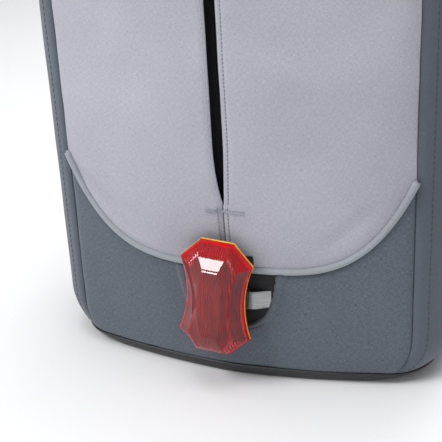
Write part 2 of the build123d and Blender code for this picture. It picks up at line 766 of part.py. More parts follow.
def main_zip_sliders():
    """Two sliders resting at the top of the arch, each with a hanging pull."""
    bead_top = half_width + zip_bead_height + clear
    lip_y0 = zip_plane + zip_gap + zip_bead_width + clear
    for side, name in ((-1, "left"), (1, "right")):
        x_in, x_out = sorted((0.0, side * main_slider_length))
        plate = block(x_in, x_out, zip_plane - main_slider_width / 2,
                      zip_plane + main_slider_width / 2, bead_top, bead_top + main_plate)
        lip = block(x_in, x_out, lip_y0, lip_y0 + 1.2, half_width + clear + 0.2, bead_top + 1)
        lug_x = side * (main_slider_length - 4)
        lug_top = bead_top + main_plate
        axis_z = lug_top + 1.8
        lug = block(lug_x - 1.6, lug_x + 1.6, zip_plane - 1, zip_plane + 1,
                    lug_top, axis_z + 1.6)
        lug = lug - rod_y(lug_x, axis_z, 0.7, zip_plane - 2, zip_plane + 2)
        place = Pos(0, 0, arch_centre) * Rot(0, side * main_slider_angle, 0)
        keep("main_slider_" + name, place * (plate + lip + lug))

        pin = rod_y(lug_x, axis_z, 0.64, zip_plane - 2.8, zip_plane + 2.8)
        pull = pin
        for edge in (-1, 1):
            ends = sorted((zip_plane + edge * 1.3, zip_plane + edge * 2.8))
            arm_x = sorted((lug_x - side * 1.1, lug_x + side * 5))
            pull = pull + block(arm_x[0], arm_x[1], ends[0], ends[1], axis_z - 1.1, axis_z + 1.1)
        tab_x = sorted((lug_x + side * 4, lug_x + side * main_pull_length))
        pull = pull + block(tab_x[0], tab_x[1], zip_plane - 2.8, zip_plane + 2.8,
                            axis_z - 1.1, axis_z + 1.1)
        keep("main_pull_" + name, place * pull)


front_panels()
front_pocket()
pocket_slider()
light_loop()
clip_on_light()
flap_edges()
back_section()
back_pads()
shoulder_straps()
sternum_strap()
haul_handle()
main_zip_sliders()
print(len(built), "pieces written")
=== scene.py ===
"""Looks for the day backpack with a clip-on light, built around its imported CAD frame."""
import json
import math

import bmesh
import bpy
import numpy as np
from mathutils import Matrix, Vector, noise


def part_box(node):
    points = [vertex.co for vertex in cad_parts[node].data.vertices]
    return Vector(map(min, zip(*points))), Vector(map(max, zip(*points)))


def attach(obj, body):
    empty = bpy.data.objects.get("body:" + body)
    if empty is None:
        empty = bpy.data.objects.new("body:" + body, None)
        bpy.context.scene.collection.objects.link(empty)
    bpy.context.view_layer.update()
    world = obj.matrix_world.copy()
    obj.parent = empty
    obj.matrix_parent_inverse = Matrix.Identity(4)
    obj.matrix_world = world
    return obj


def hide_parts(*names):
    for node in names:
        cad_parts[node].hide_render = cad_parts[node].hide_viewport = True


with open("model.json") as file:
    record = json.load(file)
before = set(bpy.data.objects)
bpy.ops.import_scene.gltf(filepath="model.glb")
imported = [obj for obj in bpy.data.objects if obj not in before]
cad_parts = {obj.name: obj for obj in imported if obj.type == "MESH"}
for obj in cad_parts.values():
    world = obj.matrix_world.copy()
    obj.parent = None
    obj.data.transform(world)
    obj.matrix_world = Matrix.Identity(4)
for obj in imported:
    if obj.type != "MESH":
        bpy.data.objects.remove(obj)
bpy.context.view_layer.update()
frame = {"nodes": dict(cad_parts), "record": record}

MM = 0.001

# ---- Sizes read from the frame --------------------------------------------------------
back_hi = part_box("back_panel")[1]
gusset_lo, gusset_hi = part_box("flap_gusset")
zip_front_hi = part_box("main_zip_front")[1]
zip_rear_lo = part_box("main_zip_rear")[0]
rear_lo, rear_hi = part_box("rear_gusset")
base_lo, base_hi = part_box("base_panel")
piping_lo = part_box("front_piping")[0]
tape_lo, tape_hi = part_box("pocket_zip_tape_right")
patch_lo, patch_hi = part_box("window_patch")
loop_lo, loop_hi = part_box("reflective_loop")
case_lo, case_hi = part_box("light_case")
lens_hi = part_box("light_lens")[1]
tack_lo, tack_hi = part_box("bar_tack")

HALF = back_hi[0]                     # half the pack's width
TOP = back_hi[2]
ARCH = TOP - HALF                     # height of the arch's centre
FRONT = base_lo[1]
BACK = back_hi[1]
BASE = base_hi[2]                     # top of the coated base band
SEAM = gusset_lo[1]                   # plane of the side seam
FLAP_EDGE = zip_front_hi[1]
ZIP_EDGE = gusset_hi[1]
REAR_EDGE = zip_rear_lo[1]
REAR_ZIP_EDGE = rear_lo[1]
BACK_SEAM = rear_hi[1]
WALL = 2.6 * MM

BOW = 23 * MM
CORNER = 38 * MM
ROLL = 90 * MM
BASE_ROUND = 38 * MM
BACK_ROUND = 18 * MM
PIPE_LOW = piping_lo[2] + 2.5 * MM
PIPE_RISE = 146 * MM
PIPE_POWER = 4.15
PIPE_RADIUS = 2.6 * MM
PIPE_GAP = 0.75 * PIPE_RADIUS           # from the cord's line to the panels' edges
BOW_RADIUS = (HALF ** 2 + BOW ** 2) / (2 * BOW)
CORNER_X = HALF - CORNER
CORNER_Y = FRONT + BOW_RADIUS - math.sqrt((BOW_RADIUS - CORNER) ** 2 - CORNER_X ** 2)
TANGENT_X = CORNER_X * BOW_RADIUS / (BOW_RADIUS - CORNER)

SLIT_LOW = tape_lo[2] + 6 * MM
SLIT_HIGH = tape_hi[2] - 6 * MM


# ---- Materials ------------------------------------------------------------------------
def new_material(name):
    mat = bpy.data.materials.new(name)
    mat.use_nodes = True
    tree = mat.node_tree
    shader = tree.nodes["Principled BSDF"]
    return mat, tree, shader


def node(tree, kind, **values):
    made = tree.nodes.new(kind)
    for key, value in values.items():
        if key in made.inputs:
            made.inputs[key].default_value = value
        else:
            setattr(made, key, value)
    return made


def coords(tree, scale, source="UV", turn=0.0):
    """Coordinates in metres times scale."""
    origin = node(tree, "ShaderNodeTexCoord")
    mapping = node(tree, "ShaderNodeMapping")
    mapping.inputs["Scale"].default_value = scale
    mapping.inputs["Rotation"].default_value = (0, 0, turn)
    tree.links.new(origin.outputs[source], mapping.inputs["Vector"])
    return mapping.outputs["Vector"]


def pattern(tree, kind, stretch=(1, 1, 1), source="Object", turn=0.0, **values):
    """Texture of one kind, laid on the piece's own coordinates."""
    made = node(tree, "ShaderNodeTex" + kind, **values)
    tree.links.new(coords(tree, stretch, source, turn), made.inputs["Vector"])
    return made


def ramp(tree, factor, low, high, stops=(0.0, 1.0)):
    made = node(tree, "ShaderNodeValToRGB")
    made.color_ramp.elements[0].position = stops[0]
    made.color_ramp.elements[0].color = (*low, 1)
    made.color_ramp.elements[1].position = stops[1]
    made.color_ramp.elements[1].color = (*high, 1)
    tree.links.new(factor, made.inputs["Fac"])
    return made.outputs["Color"]


def math_node(tree, operation, a, b):
    made = node(tree, "ShaderNodeMath", operation=operation)
    for socket, value in zip(made.inputs, (a, b)):
        if isinstance(value, (int, float)):
            socket.default_value = value
        else:
            tree.links.new(value, socket)
    return made.outputs[0]


def bump_to(tree, shader, height, strength, distance):
    made = node(tree, "ShaderNodeBump", Strength=strength, Distance=distance)
    tree.links.new(height, made.inputs["Height"])
    tree.links.new(made.outputs["Normal"], shader.inputs["Normal"])


def vary_roughness(tree, shader, factor, low, high):
    made = node(tree, "ShaderNodeMapRange", **{"To Min": low, "To Max": high})
    tree.links.new(factor, made.inputs["Value"])
    tree.links.new(made.outputs["Result"], shader.inputs["Roughness"])


def mixed(tree, kind, factor, a, b):
    made = node(tree, "ShaderNodeMix", data_type="RGBA", blend_type=kind)
    for socket, value in ((made.inputs[0], factor), (made.inputs[6], a), (made.inputs[7], b)):
        if isinstance(value, (int, float)):
            socket.default_value = value
        elif isinstance(value, tuple):
            socket.default_value = (*value, 1)
        else:
            tree.links.new(value, socket)
    return made.outputs[2]


def shade(colour, factor):
    return tuple(channel * factor for channel in colour)


def fabric(name, colour, thread=0.5, twill=True, melange=0.0, roughness=0.85, sheen=0.25,
           bump=0.35, spread=0.10):
    """Woven cloth: crossing threads of one pitch in millimetres, with melange and soft wear."""
    mat, tree, shader = new_material(name)
    per_metre = 1000 / thread
    turn = math.radians(38) if twill else 0.0
    warp = node(tree, "ShaderNodeTexWave", wave_type="BANDS", bands_direction="X",
                wave_profile="SIN")
    weft = node(tree, "ShaderNodeTexWave", wave_type="BANDS", bands_direction="Y",
                wave_profile="SIN")
    for wave, turned in ((warp, turn), (weft, 0.0)):
        wave.inputs["Scale"].default_value = math.pi * per_metre / 10
        wave.inputs["Distortion"].default_value = 0.8
        wave.inputs["Detail"].default_value = 1.0
        tree.links.new(coords(tree, (1, 1, 1), turn=turned), wave.inputs["Vector"])
    weave = math_node(tree, "MULTIPLY", warp.outputs["Fac"], 0.6)
    weave = math_node(tree, "ADD", weave, math_node(tree, "MULTIPLY", weft.outputs["Fac"], 0.4))
    threads = pattern(tree, "Noise", (2600, 420, 1), "UV", Scale=1.0, Detail=2.0)
    cross = pattern(tree, "Noise", (420, 2600, 1), "UV", Scale=1.0, Detail=2.0)
    slubs = math_node(tree, "ADD", threads.outputs["Fac"], cross.outputs["Fac"])
    broad = pattern(tree, "Noise", Scale=9.0, Detail=3.0)
    base = ramp(tree, weave, shade(colour, 1 - spread), shade(colour, 1 + spread), (0.2, 0.8))
    flecks = ramp(tree, math_node(tree, "MULTIPLY", slubs, 0.5), shade((1, 1, 1), 1 - melange),
                  shade((1, 1, 1), 1 + melange), (0.36, 0.64))
    base = mixed(tree, "MULTIPLY", 1.0, base, flecks)
    wear = ramp(tree, broad.outputs["Fac"], (0.91, 0.91, 0.92), (1.06, 1.06, 1.05), (0.3, 0.7))
    base = mixed(tree, "MULTIPLY", 1.0, base, wear)
    tree.links.new(base, shader.inputs["Base Color"])
    shader.inputs["Roughness"].default_value = roughness
    shader.inputs["Sheen Weight"].default_value = sheen
    shader.inputs["Sheen Roughness"].default_value = 0.45
    shader.inputs["Specular IOR Level"].default_value = 0.25
    height = math_node(tree, "ADD", weave, math_node(tree, "MULTIPLY", slubs, 0.35))
    bump_to(tree, shader, height, bump, 0.25 * MM)
    return mat


def coated(name, colour, roughness=0.42):
    """Coated cloth: a fine grain under a slightly glossy skin."""
    mat, tree, shader = new_material(name)
    grain = pattern(tree, "Voronoi", Scale=1400.0)
    scuffs = pattern(tree, "Noise", Scale=60.0, Detail=6.0)
    tree.links.new(ramp(tree, scuffs.outputs["Fac"], shade(colour, 0.8), shade(colour, 1.5),
                        (0.35, 0.75)), shader.inputs["Base Color"])
    vary_roughness(tree, shader, scuffs.outputs["Fac"], roughness - 0.08, roughness + 0.2)
    bump_to(tree, shader, grain.outputs["Distance"], 0.3, 0.15 * MM)
    return mat


def plastic(name, colour, roughness=0.38, grain=900.0):
    """Moulded plastic: fine spark-eroded grain with faint handling marks."""
    mat, tree, shader = new_material(name)
    spark = pattern(tree, "Noise", Scale=grain, Detail=2.0)
    marks = pattern(tree, "Noise", Scale=120.0, Detail=5.0)
    tree.links.new(ramp(tree, marks.outputs["Fac"], shade(colour, 0.85), shade(colour, 1.3),
                        (0.3, 0.7)), shader.inputs["Base Color"])
    vary_roughness(tree, shader, marks.outputs["Fac"], roughness - 0.06, roughness + 0.12)
    bump_to(tree, shader, spark.outputs["Fac"], 0.12, 0.1 * MM)
    return mat


def metal(name, colour, roughness=0.3):
    """Brushed or plated metal."""
    mat, tree, shader = new_material(name)
    brushed = pattern(tree, "Noise", (300, 300, 4000), Scale=1.0, Detail=3.0)
    tree.links.new(ramp(tree, brushed.outputs["Fac"], shade(colour, 0.8), shade(colour, 1.1),
                        (0.3, 0.7)), shader.inputs["Base Color"])
    shader.inputs["Metallic"].default_value = 1.0
    shader.inputs["Roughness"].default_value = roughness
    bump_to(tree, shader, brushed.outputs["Fac"], 0.1, 0.05 * MM)
    return mat


def reflective(name):
    """Silver-grey reflective tape with a fine bead grid."""
    mat, tree, shader = new_material(name)
    beads = pattern(tree, "Voronoi", Scale=1600.0)
    brushed = pattern(tree, "Noise", (60, 60, 1500), Scale=1.0, Detail=3.0)
    tree.links.new(ramp(tree, brushed.outputs["Fac"], (0.30, 0.31, 0.31), (0.52, 0.53, 0.53),
                        (0.3, 0.7)), shader.inputs["Base Color"])
    shader.inputs["Metallic"].default_value = 0.35
    shader.inputs["Roughness"].default_value = 0.38
    bump_to(tree, shader, beads.outputs["Distance"], 0.25, 0.1 * MM)
    return mat


def lens_red(name, colour, clear, prisms=0.0):
    """Red plastic, clear by a share, with moulded prism ridges of one pitch."""
    mat, tree, shader = new_material(name)
    shader.inputs["Roughness"].default_value = 0.06
    shader.inputs["IOR"].default_value = 1.49
    shader.inputs["Transmission Weight"].default_value = clear
    shader.inputs["Coat Weight"].default_value = 0.12
    shader.inputs["Coat Roughness"].default_value = 0.03
    cloud = pattern(tree, "Noise", Scale=120.0, Detail=3.0)
    tree.links.new(ramp(tree, cloud.outputs["Fac"], shade(colour, 0.85), shade(colour, 1.1),
                        (0.35, 0.65)), shader.inputs["Base Color"])
    if prisms:
        ridges = node(tree, "ShaderNodeTexWave", wave_type="BANDS", bands_direction="X",
                      wave_profile="TRI")
        ridges.inputs["Scale"].default_value = math.pi / (10 * prisms)
        tree.links.new(coords(tree, (1, 1, 1)), ridges.inputs["Vector"])
        bump_to(tree, shader, ridges.outputs["Fac"], 0.9, 0.5 * MM)
    return mat


MATS = {
    "light_twill": fabric("light_twill", (0.455, 0.452, 0.510), 0.7, True, 0.17, 0.9, 0.2, 0.5,
                          0.09),
    "heather_fabric": fabric("heather_fabric", (0.112, 0.132, 0.160), 0.75, False, 0.38, 0.85,
                             0.25, 0.45, 0.16),
    "side_fabric": fabric("side_fabric", (0.105, 0.122, 0.150), 0.6, False, 0.14, 0.8, 0.25, 0.3,
                          0.08),
    "dark_fabric": fabric("dark_fabric", (0.022, 0.022, 0.026), 0.7, False, 0.25, 0.75, 0.15,
                          0.5, 0.25),
    "coated_base": coated("coated_base", (0.020, 0.020, 0.023)),
    "piping_grey": fabric("piping_grey", (0.34, 0.365, 0.395), 0.5, True, 0.06, 0.6, 0.3, 0.3,
                          0.08),
    "thread_light": fabric("thread_light", (0.50, 0.51, 0.56), 0.3, True, 0.1, 0.6, 0.3, 0.2),
    "thread_mid": fabric("thread_mid", (0.24, 0.235, 0.255), 0.3, True, 0.1, 0.7, 0.2, 0.2),
    "thread_dark": fabric("thread_dark", (0.05, 0.055, 0.065), 0.3, True, 0.1, 0.6, 0.3, 0.2),
    "lining": fabric("lining", (0.105, 0.098, 0.122), 0.4, False, 0.1, 0.7, 0.2, 0.2),
    "pouch_lining": fabric("pouch_lining", (0.020, 0.019, 0.023), 0.4, False, 0.1, 0.7, 0.2, 0.2),
    "zip_tape": fabric("zip_tape", (0.018, 0.018, 0.021), 0.6, False, 0.15, 0.7, 0.2, 0.4, 0.2),
    "padding_mesh": fabric("padding_mesh", (0.028, 0.029, 0.032), 2.2, False, 0.3, 0.85, 0.2,
                           1.0, 0.55),
    "webbing_black": fabric("webbing_black", (0.016, 0.016, 0.018), 1.3, True, 0.2, 0.6, 0.3,
                            0.9, 0.3),
    "reflective_tape": reflective("reflective_tape"),
    "black_plastic": plastic("black_plastic", (0.022, 0.022, 0.025)),
    "frame_plastic": plastic("frame_plastic", (0.55, 0.56, 0.58), 0.4, 400.0),
    "zip_metal": metal("zip_metal", (0.07, 0.07, 0.08), 0.38),
    "red_lens": lens_red("red_lens", (0.60, 0.006, 0.016), 0.93),
    "red_prism": lens_red("red_prism", (0.72, 0.002, 0.010), 0.50, 1.6 * MM),
    "red_edge": lens_red("red_edge", (0.78, 0.002, 0.008), 0.25),
    "lens_shadow": plastic("lens_shadow", (0.05, 0.002, 0.004), 0.4),
    "gasket_yellow": plastic("gasket_yellow", (0.90, 0.50, 0.03), 0.45),
    "black_rubber": plastic("black_rubber", (0.016, 0.016, 0.017), 0.6, 1500.0),
    "reflector_chrome": metal("reflector_chrome", (0.80, 0.78, 0.78), 0.16),
    "board_green": plastic("board_green", (0.03, 0.14, 0.06), 0.35),
    "led_clear": plastic("led_clear", (0.90, 0.55, 0.50), 0.12),
    "steel": metal("steel", (0.62, 0.62, 0.64), 0.28),
}


# ---- Mesh helpers ---------------------------------------------------------------------
def add_object(name, verts, faces, slot, body, uvs=None, material=None, smooth=True):
    """A mesh object that rides on a body and takes a named material."""
    mesh = bpy.data.meshes.new(name)
    mesh.from_pydata([tuple(v) for v in verts], [], [tuple(f) for f in faces])
    if uvs is not None:
        layer = mesh.uv_layers.new(name="UVMap")
        loops = np.empty(len(mesh.loops), dtype=np.int32)
        mesh.loops.foreach_get("vertex_index", loops)
        layer.data.foreach_set("uv", np.asarray(uvs, dtype=np.float32)[loops].ravel())
    solid = bmesh.new()
    solid.from_mesh(mesh)
    bmesh.ops.recalc_face_normals(solid, faces=solid.faces)
    solid.to_mesh(mesh)
    solid.free()
    mesh.update()
    if smooth:
        mesh.polygons.foreach_set("use_smooth", [True] * len(mesh.polygons))
    obj = bpy.data.objects.new(name, mesh)
    bpy.context.collection.objects.link(obj)
    obj.data.materials.append(MATS[material or slot])
    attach(obj, body)
    return obj


def grid_faces(rows, columns, offset=0, flip=False, wrap=False):
    """Quads of a rows by columns grid."""
    faces = []
    last = columns if wrap else columns - 1
    for i in range(rows - 1):
        for j in range(last):
            k = (j + 1) % columns
            quad = [offset + i * columns + j, offset + i * columns + k,
                    offset + (i + 1) * columns + k, offset + (i + 1) * columns + j]
            faces.append(quad[::-1] if flip else quad)
    return faces


def grid_rim(rows, columns):
    """Indices round the edge of a grid, in order."""
    rim = [i * columns for i in range(rows)]
    rim += [(rows - 1) * columns + j for j in range(1, columns)]
    rim += [i * columns + columns - 1 for i in range(rows - 2, -1, -1)]
    return rim + [j for j in range(columns - 2, 0, -1)]


def rim_wall(rim, count, flip):
    """Quads from a grid's rim to that of its copy, count vertices further on."""
    quads = [[a, b, b + count, a + count] for a, b in zip(rim, rim[1:] + rim[:1])]
    return quads if flip else [quad[::-1] for quad in quads]


def ring_wall(count, first, second):
    """Quads between two closed rings of count vertices."""
    return [[first + k, first + (k + 1) % count, second + (k + 1) % count, second + k]
            for k in range(count)]


def capped_tube(rows, sides):
    """Faces of a tube of rings, closed at both ends."""
    last = (rows - 1) * sides
    return (grid_faces(rows, sides, 0, False, True) + [list(range(sides))[::-1]]
            + [[last + k for k in range(sides)]])


def unit(vectors):
    return vectors / np.linalg.norm(vectors, axis=1, keepdims=True)


def length_along(path):
    """Length of a path up to each of its points."""
    step = np.linalg.norm(np.diff(path, axis=0), axis=1)
    return np.concatenate([[0], np.cumsum(step)])


def squared_wave(wave, power):
    """A sine or cosine bent towards a squarer outline."""
    return np.sign(wave) * np.abs(wave) ** power


def grid_normals(points):
    """Unit normals of a grid of points."""
    along = np.gradient(points, axis=0)
    across = np.gradient(points, axis=1)
    normal = np.cross(across, along)
    length = np.linalg.norm(normal, axis=2, keepdims=True)
    return normal / np.maximum(length, 1e-12)


def grid_uv(points):
    """Arc-length coordinates of a grid, in metres."""
    du = np.linalg.norm(np.diff(points, axis=1), axis=2)
    dv = np.linalg.norm(np.diff(points, axis=0), axis=2)
    u = np.concatenate([np.zeros((points.shape[0], 1)), np.cumsum(du, axis=1)], axis=1)
    v = np.concatenate([np.zeros((1, points.shape[1])), np.cumsum(dv, axis=0)], axis=0)
    u = u - u[:, u.shape[1] // 2][:, None]
    return np.stack([u, v], axis=2)


def sheet_from_grid(name, points, outward, thickness, slot, body, material=None, uv=None):
    """A closed sheet whose outer face is the grid; outward is a rough outward direction."""
    rows, columns = points.shape[:2]
    normal = grid_normals(points)
    middle = normal[rows // 2, columns // 2]
    sign = 1.0 if np.dot(middle, outward(points[rows // 2, columns // 2])) > 0 else -1.0
    normal = normal * sign
    inner = points - normal * thickness
    verts = np.concatenate([points.reshape(-1, 3), inner.reshape(-1, 3)])
    uv = grid_uv(points) if uv is None else uv
    uvs = np.concatenate([uv.reshape(-1, 2), uv.reshape(-1, 2)])
    count = rows * columns
    faces = grid_faces(rows, columns, 0, sign < 0)
    faces += grid_faces(rows, columns, count, sign > 0)
    faces += rim_wall(grid_rim(rows, columns), count, sign < 0)
    return add_object(name, verts, faces, slot, body, uvs, material)


def tube(name, path, radii, slot, body, sides=12, squash=1.0, material=None, up=(0, -1, 0)):
    """A closed tube of elliptical section along a list of points."""
    path = np.asarray(path, dtype=float)
    tangent = unit(np.gradient(path, axis=0))
    up = np.asarray(up, dtype=float)
    side = unit(np.cross(tangent, up))
    lift = np.cross(side, tangent)
    radii = np.broadcast_to(radii, len(path))
    angle = np.linspace(0, 2 * math.pi, sides, endpoint=False)
    ring = (side[:, None, :] * np.cos(angle)[None, :, None]
            + lift[:, None, :] * np.sin(angle)[None, :, None] * squash)
    points = path[:, None, :] + ring * radii[:, None, None]
    length = length_along(path)
    uv = np.stack([np.broadcast_to(angle * radii[0], points.shape[:2]),
                   np.broadcast_to(length[:, None], points.shape[:2])], axis=2)
    return add_object(name, points.reshape(-1, 3), capped_tube(len(path), sides), slot, body,
                      uv.reshape(-1, 2), material)


STITCH_RINGS = ((-1.0, 0.35), (-0.75, 0.85), (0.0, 1.0), (0.75, 0.85), (1.0, 0.35))


def stitches(name, path, normals, pitch, length, width, slot, body, material, proud=0.15 * MM):
    """Separate sewn stitches laid along a path."""
    path = np.asarray(path, dtype=float)
    normals = np.asarray(normals, dtype=float)
    run = length_along(path)
    verts, faces = [], []
    sides = 6
    places = np.arange(pitch / 2, run[-1] - pitch / 4, pitch)
    for place in places:
        centre = np.array([np.interp(place, run, path[:, k]) for k in range(3)])
        up = np.array([np.interp(place, run, normals[:, k]) for k in range(3)])
        up /= np.linalg.norm(up)
        ends = [np.array([np.interp(place + s * length / 2, run, path[:, k]) for k in range(3)])
                for s in (-1, 1)]
        along = ends[1] - ends[0]
        along /= np.linalg.norm(along)
        side = np.cross(along, up)
        start = len(verts)
        for shift, scale in STITCH_RINGS:
            for k in range(sides):
                angle = 2 * math.pi * k / sides
                offset = side * math.cos(angle) + up * math.sin(angle) * 0.7
                verts.append(centre + along * shift * length / 2
                             + offset * width / 2 * scale + up * proud)
        faces += grid_faces(len(STITCH_RINGS), sides, start, False, True)
        faces.append([start + k for k in range(sides)][::-1])
        top = start + (len(STITCH_RINGS) - 1) * sides
        faces.append([top + k for k in range(sides)])
    uvs = np.array([[v[0] + v[1], v[2]] for v in verts])
    return add_object(name, verts, faces, slot, body, uvs, material)


# ---- The pack's form ------------------------------------------------------------------
def half_width_at(z):
    """Half the pack's width, drawn in at the bottom corners."""
    low = np.clip(BASE_ROUND - z, 0, BASE_ROUND)
    return HALF - BASE_ROUND + np.sqrt(np.maximum(BASE_ROUND ** 2 - low ** 2, 0))


def side_profile(q):
    """Depth of the front's plan at distance q from the middle."""
    q = np.clip(q, 0, HALF)
    bow = FRONT + BOW_RADIUS - np.sqrt(BOW_RADIUS ** 2 - q ** 2)
    round_in = np.maximum(CORNER ** 2 - (q - CORNER_X) ** 2, 0)
    return np.where(q < TANGENT_X, bow, CORNER_Y - np.sqrt(round_in))


def top_profile(d):
    """Depth of the front's roll at distance d below the top."""
    short = np.clip(ROLL - d, 0, ROLL)
    return FRONT + ROLL - np.sqrt(ROLL ** 2 - short ** 2)


def arch_share(x, z):
    """0 at the sides and 1 over the top of the arch."""
    lift = np.maximum(z - ARCH, 0)
    radius = np.hypot(x, lift) + 1e-9
    return (lift / radius) ** 2


def edge_distance(x, z):
    """Distance inside the pack's outline."""
    lift = np.maximum(z - ARCH, 0)
    return np.where(z > ARCH, HALF - np.hypot(x, lift), half_width_at(z) - np.abs(x))


def front_depth(x, z):
    """Depth of the plain front at x and z."""
    d = edge_distance(x, z)
    share = arch_share(x, z)
    return (1 - share) * side_profile(HALF - d) + share * top_profile(d)


def outline_point(s):
    """Point and inward direction on the outline; s runs from the left foot over the top."""
    leg = ARCH - BASE
    arc = math.pi * HALF
    s = np.asarray(s, dtype=float) * (2 * leg + arc)
    left = s < leg
    right = s > leg + arc
    z_side = np.where(left, BASE + s, BASE + 2 * leg + arc - s)
    angle = math.pi - (s - leg) / HALF
    on_arc = ~left & ~right
    x = np.where(on_arc, HALF * np.cos(angle),
                 np.where(left, -1, 1) * half_width_at(z_side))
    z = np.where(on_arc, ARCH + HALF * np.sin(angle), z_side)
    inward_x = np.where(on_arc, -np.cos(angle), np.where(left, 1, -1))
    inward_z = np.where(on_arc, -np.sin(angle), 0)
    return x, z, inward_x, inward_z


def inset_at(s, y):
    """How far inside the outline the surface lies at depth y."""
    x, z, ix, iz = outline_point(s)
    low = np.zeros_like(x)
    high = np.full_like(x, ROLL)
    for _ in range(30):
        mid = (low + high) / 2
        deep = front_depth(x + ix * mid, z + iz * mid) > y
        low = np.where(deep, mid, low)
        high = np.where(deep, high, mid)
    return low


def back_inset(y):
    """How far the rounded back edge lies inside the outline."""
    short = np.clip(y - (BACK - BACK_ROUND), 0, BACK_ROUND)
    return BACK_ROUND - math.sqrt(BACK_ROUND ** 2 - short ** 2)


def pipe_height(x):
    return PIPE_LOW + PIPE_RISE * (np.abs(x) / HALF) ** PIPE_POWER


def soft_noise(points, scale, seed=0.0):
    """Smooth noise at each point of a grid."""
    flat = points.reshape(-1, 3)
    values = [noise.noise(Vector(p) * scale + Vector((seed, seed, seed))) for p in flat]
    return np.array(values).reshape(points.shape[:-1])


def rise(distance, length):
    return 1 - np.exp(-np.maximum(distance, 0) / length)


def seam_cross():
    """Place along the outline, on the right, where the piping meets the side seam."""
    s = np.linspace(0.5, 1.0, 800)
    inset = inset_at(s, SEAM)
    x, z, ix, iz = outline_point(s)
    x = x + ix * inset
    z = z + iz * inset
    best = np.argmin(np.abs(z - pipe_height(x)) + np.where(z > ARCH, 1, 0))
    return s[best]


S_CROSS = seam_cross()
SEAM_X = float(HALF - inset_at(np.array([0.9]), SEAM)[0])


def seam_curve(s):
    """Points of the side seam in x and z."""
    inset = inset_at(s, SEAM)
    x, z, ix, iz = outline_point(s)
    return np.stack([x + ix * inset, z + iz * inset], axis=-1)


CROSSING = seam_curve(np.array([S_CROSS]))[0]


def coons(bottom, top, left, right):
    """Grid between four curves; bottom and top run left to right, left and right upwards."""
    columns, rows = len(bottom), len(left)
    u = np.linspace(0, 1, columns)[None, :, None]
    v = np.linspace(0, 1, rows)[:, None, None]
    ruled = (1 - v) * bottom[None] + v * top[None]
    other = (1 - u) * left[:, None] + u * right[:, None]
    corners = ((1 - u) * (1 - v) * bottom[0] + u * (1 - v) * bottom[-1]
               + (1 - u) * v * top[0] + u * v * top[-1])
    return ruled + other - corners


def lift_front(flat, out):
    """Turn x and z into points on the front, moved outwards by out along the normal."""
    x, z = flat[..., 0], flat[..., 1]
    y = front_depth(x, z)
    points = np.stack([x, y, z], axis=-1)
    normal = grid_normals(points)
    normal *= np.where(normal[..., 1:2] > 0, -1, 1)
    return points + normal * out[..., None]


def forward(point):
    return np.array([0, -1, 0])


def away(point):
    return np.array([point[0], 0, point[2] - 0.5 * ARCH])


# ---- Flap: lower panel ----------------------------------------------------------------
def pipe_line(count, side_limit, shift):
    """The piping's line in x and z between the two side seams."""
    x = np.linspace(-side_limit, side_limit, count)
    return np.stack([x, pipe_height(x) + shift], axis=1)


def lower_panel():
    """Heathered lower panel, drawn in at its seams, with a raised hem round the window."""
    top = pipe_line(241, CROSSING[0], -PIPE_GAP)
    foot_s = np.linspace(1.0, S_CROSS, 90)
    right = seam_curve(foot_s)
    left = right * np.array([-1, 1])
    right[-1] = top[-1]
    left[-1] = top[0]
    x = np.linspace(left[0][0], right[0][0], 241)
    bottom = np.stack([x, np.full(241, BASE + 0.6 * MM)], axis=1)
    flat = coons(bottom, top, left, right)
    below = pipe_height(flat[..., 0]) - PIPE_GAP - flat[..., 1]
    above = flat[..., 1] - BASE
    side = SEAM_X - np.abs(flat[..., 0])
    out = 2.2 * MM * rise(below, 2 * MM) * rise(above, 2 * MM) * rise(side, 3 * MM) - 1.1 * MM
    grid3 = np.stack([flat[..., 0], front_depth(flat[..., 0], flat[..., 1]), flat[..., 1]], -1)
    out += 0.7 * MM * soft_noise(grid3, 22.0) + 0.25 * MM * soft_noise(grid3, 70.0, 3.0)
    hem = window_distance(flat[..., 0], flat[..., 1])
    out += 1.5 * MM * np.exp(-((hem - 3 * MM) / (3.2 * MM)) ** 4) * (hem > -0.5 * MM)
    out = np.where(hem <= -0.5 * MM, -1.2 * MM, out)
    points = lift_front(flat, out)
    obj = sheet_from_grid("lower_front", points, forward, WALL, "heather_fabric", "flap", uv=flat)
    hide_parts("front_panel_lower")


WINDOW_TOP = patch_hi[2]
WINDOW_LOW = patch_lo[2]
WINDOW_HALF = patch_hi[0] - 0.5 * MM


def window_half_width(z):
    """Half the window's width: nearly straight sides closing into a rounded foot."""
    t = np.clip((WINDOW_TOP - z) / (WINDOW_TOP - WINDOW_LOW), 0, 1)
    return WINDOW_HALF * (1 - 0.22 * t) * np.sqrt(np.maximum(1 - t ** 5, 0))


def window_distance(x, z):
    """Distance outside the window's edge, negative inside."""
    inside = window_half_width(np.maximum(z, WINDOW_LOW)) - np.abs(x)
    low = z - WINDOW_LOW
    return -np.minimum(inside, low)


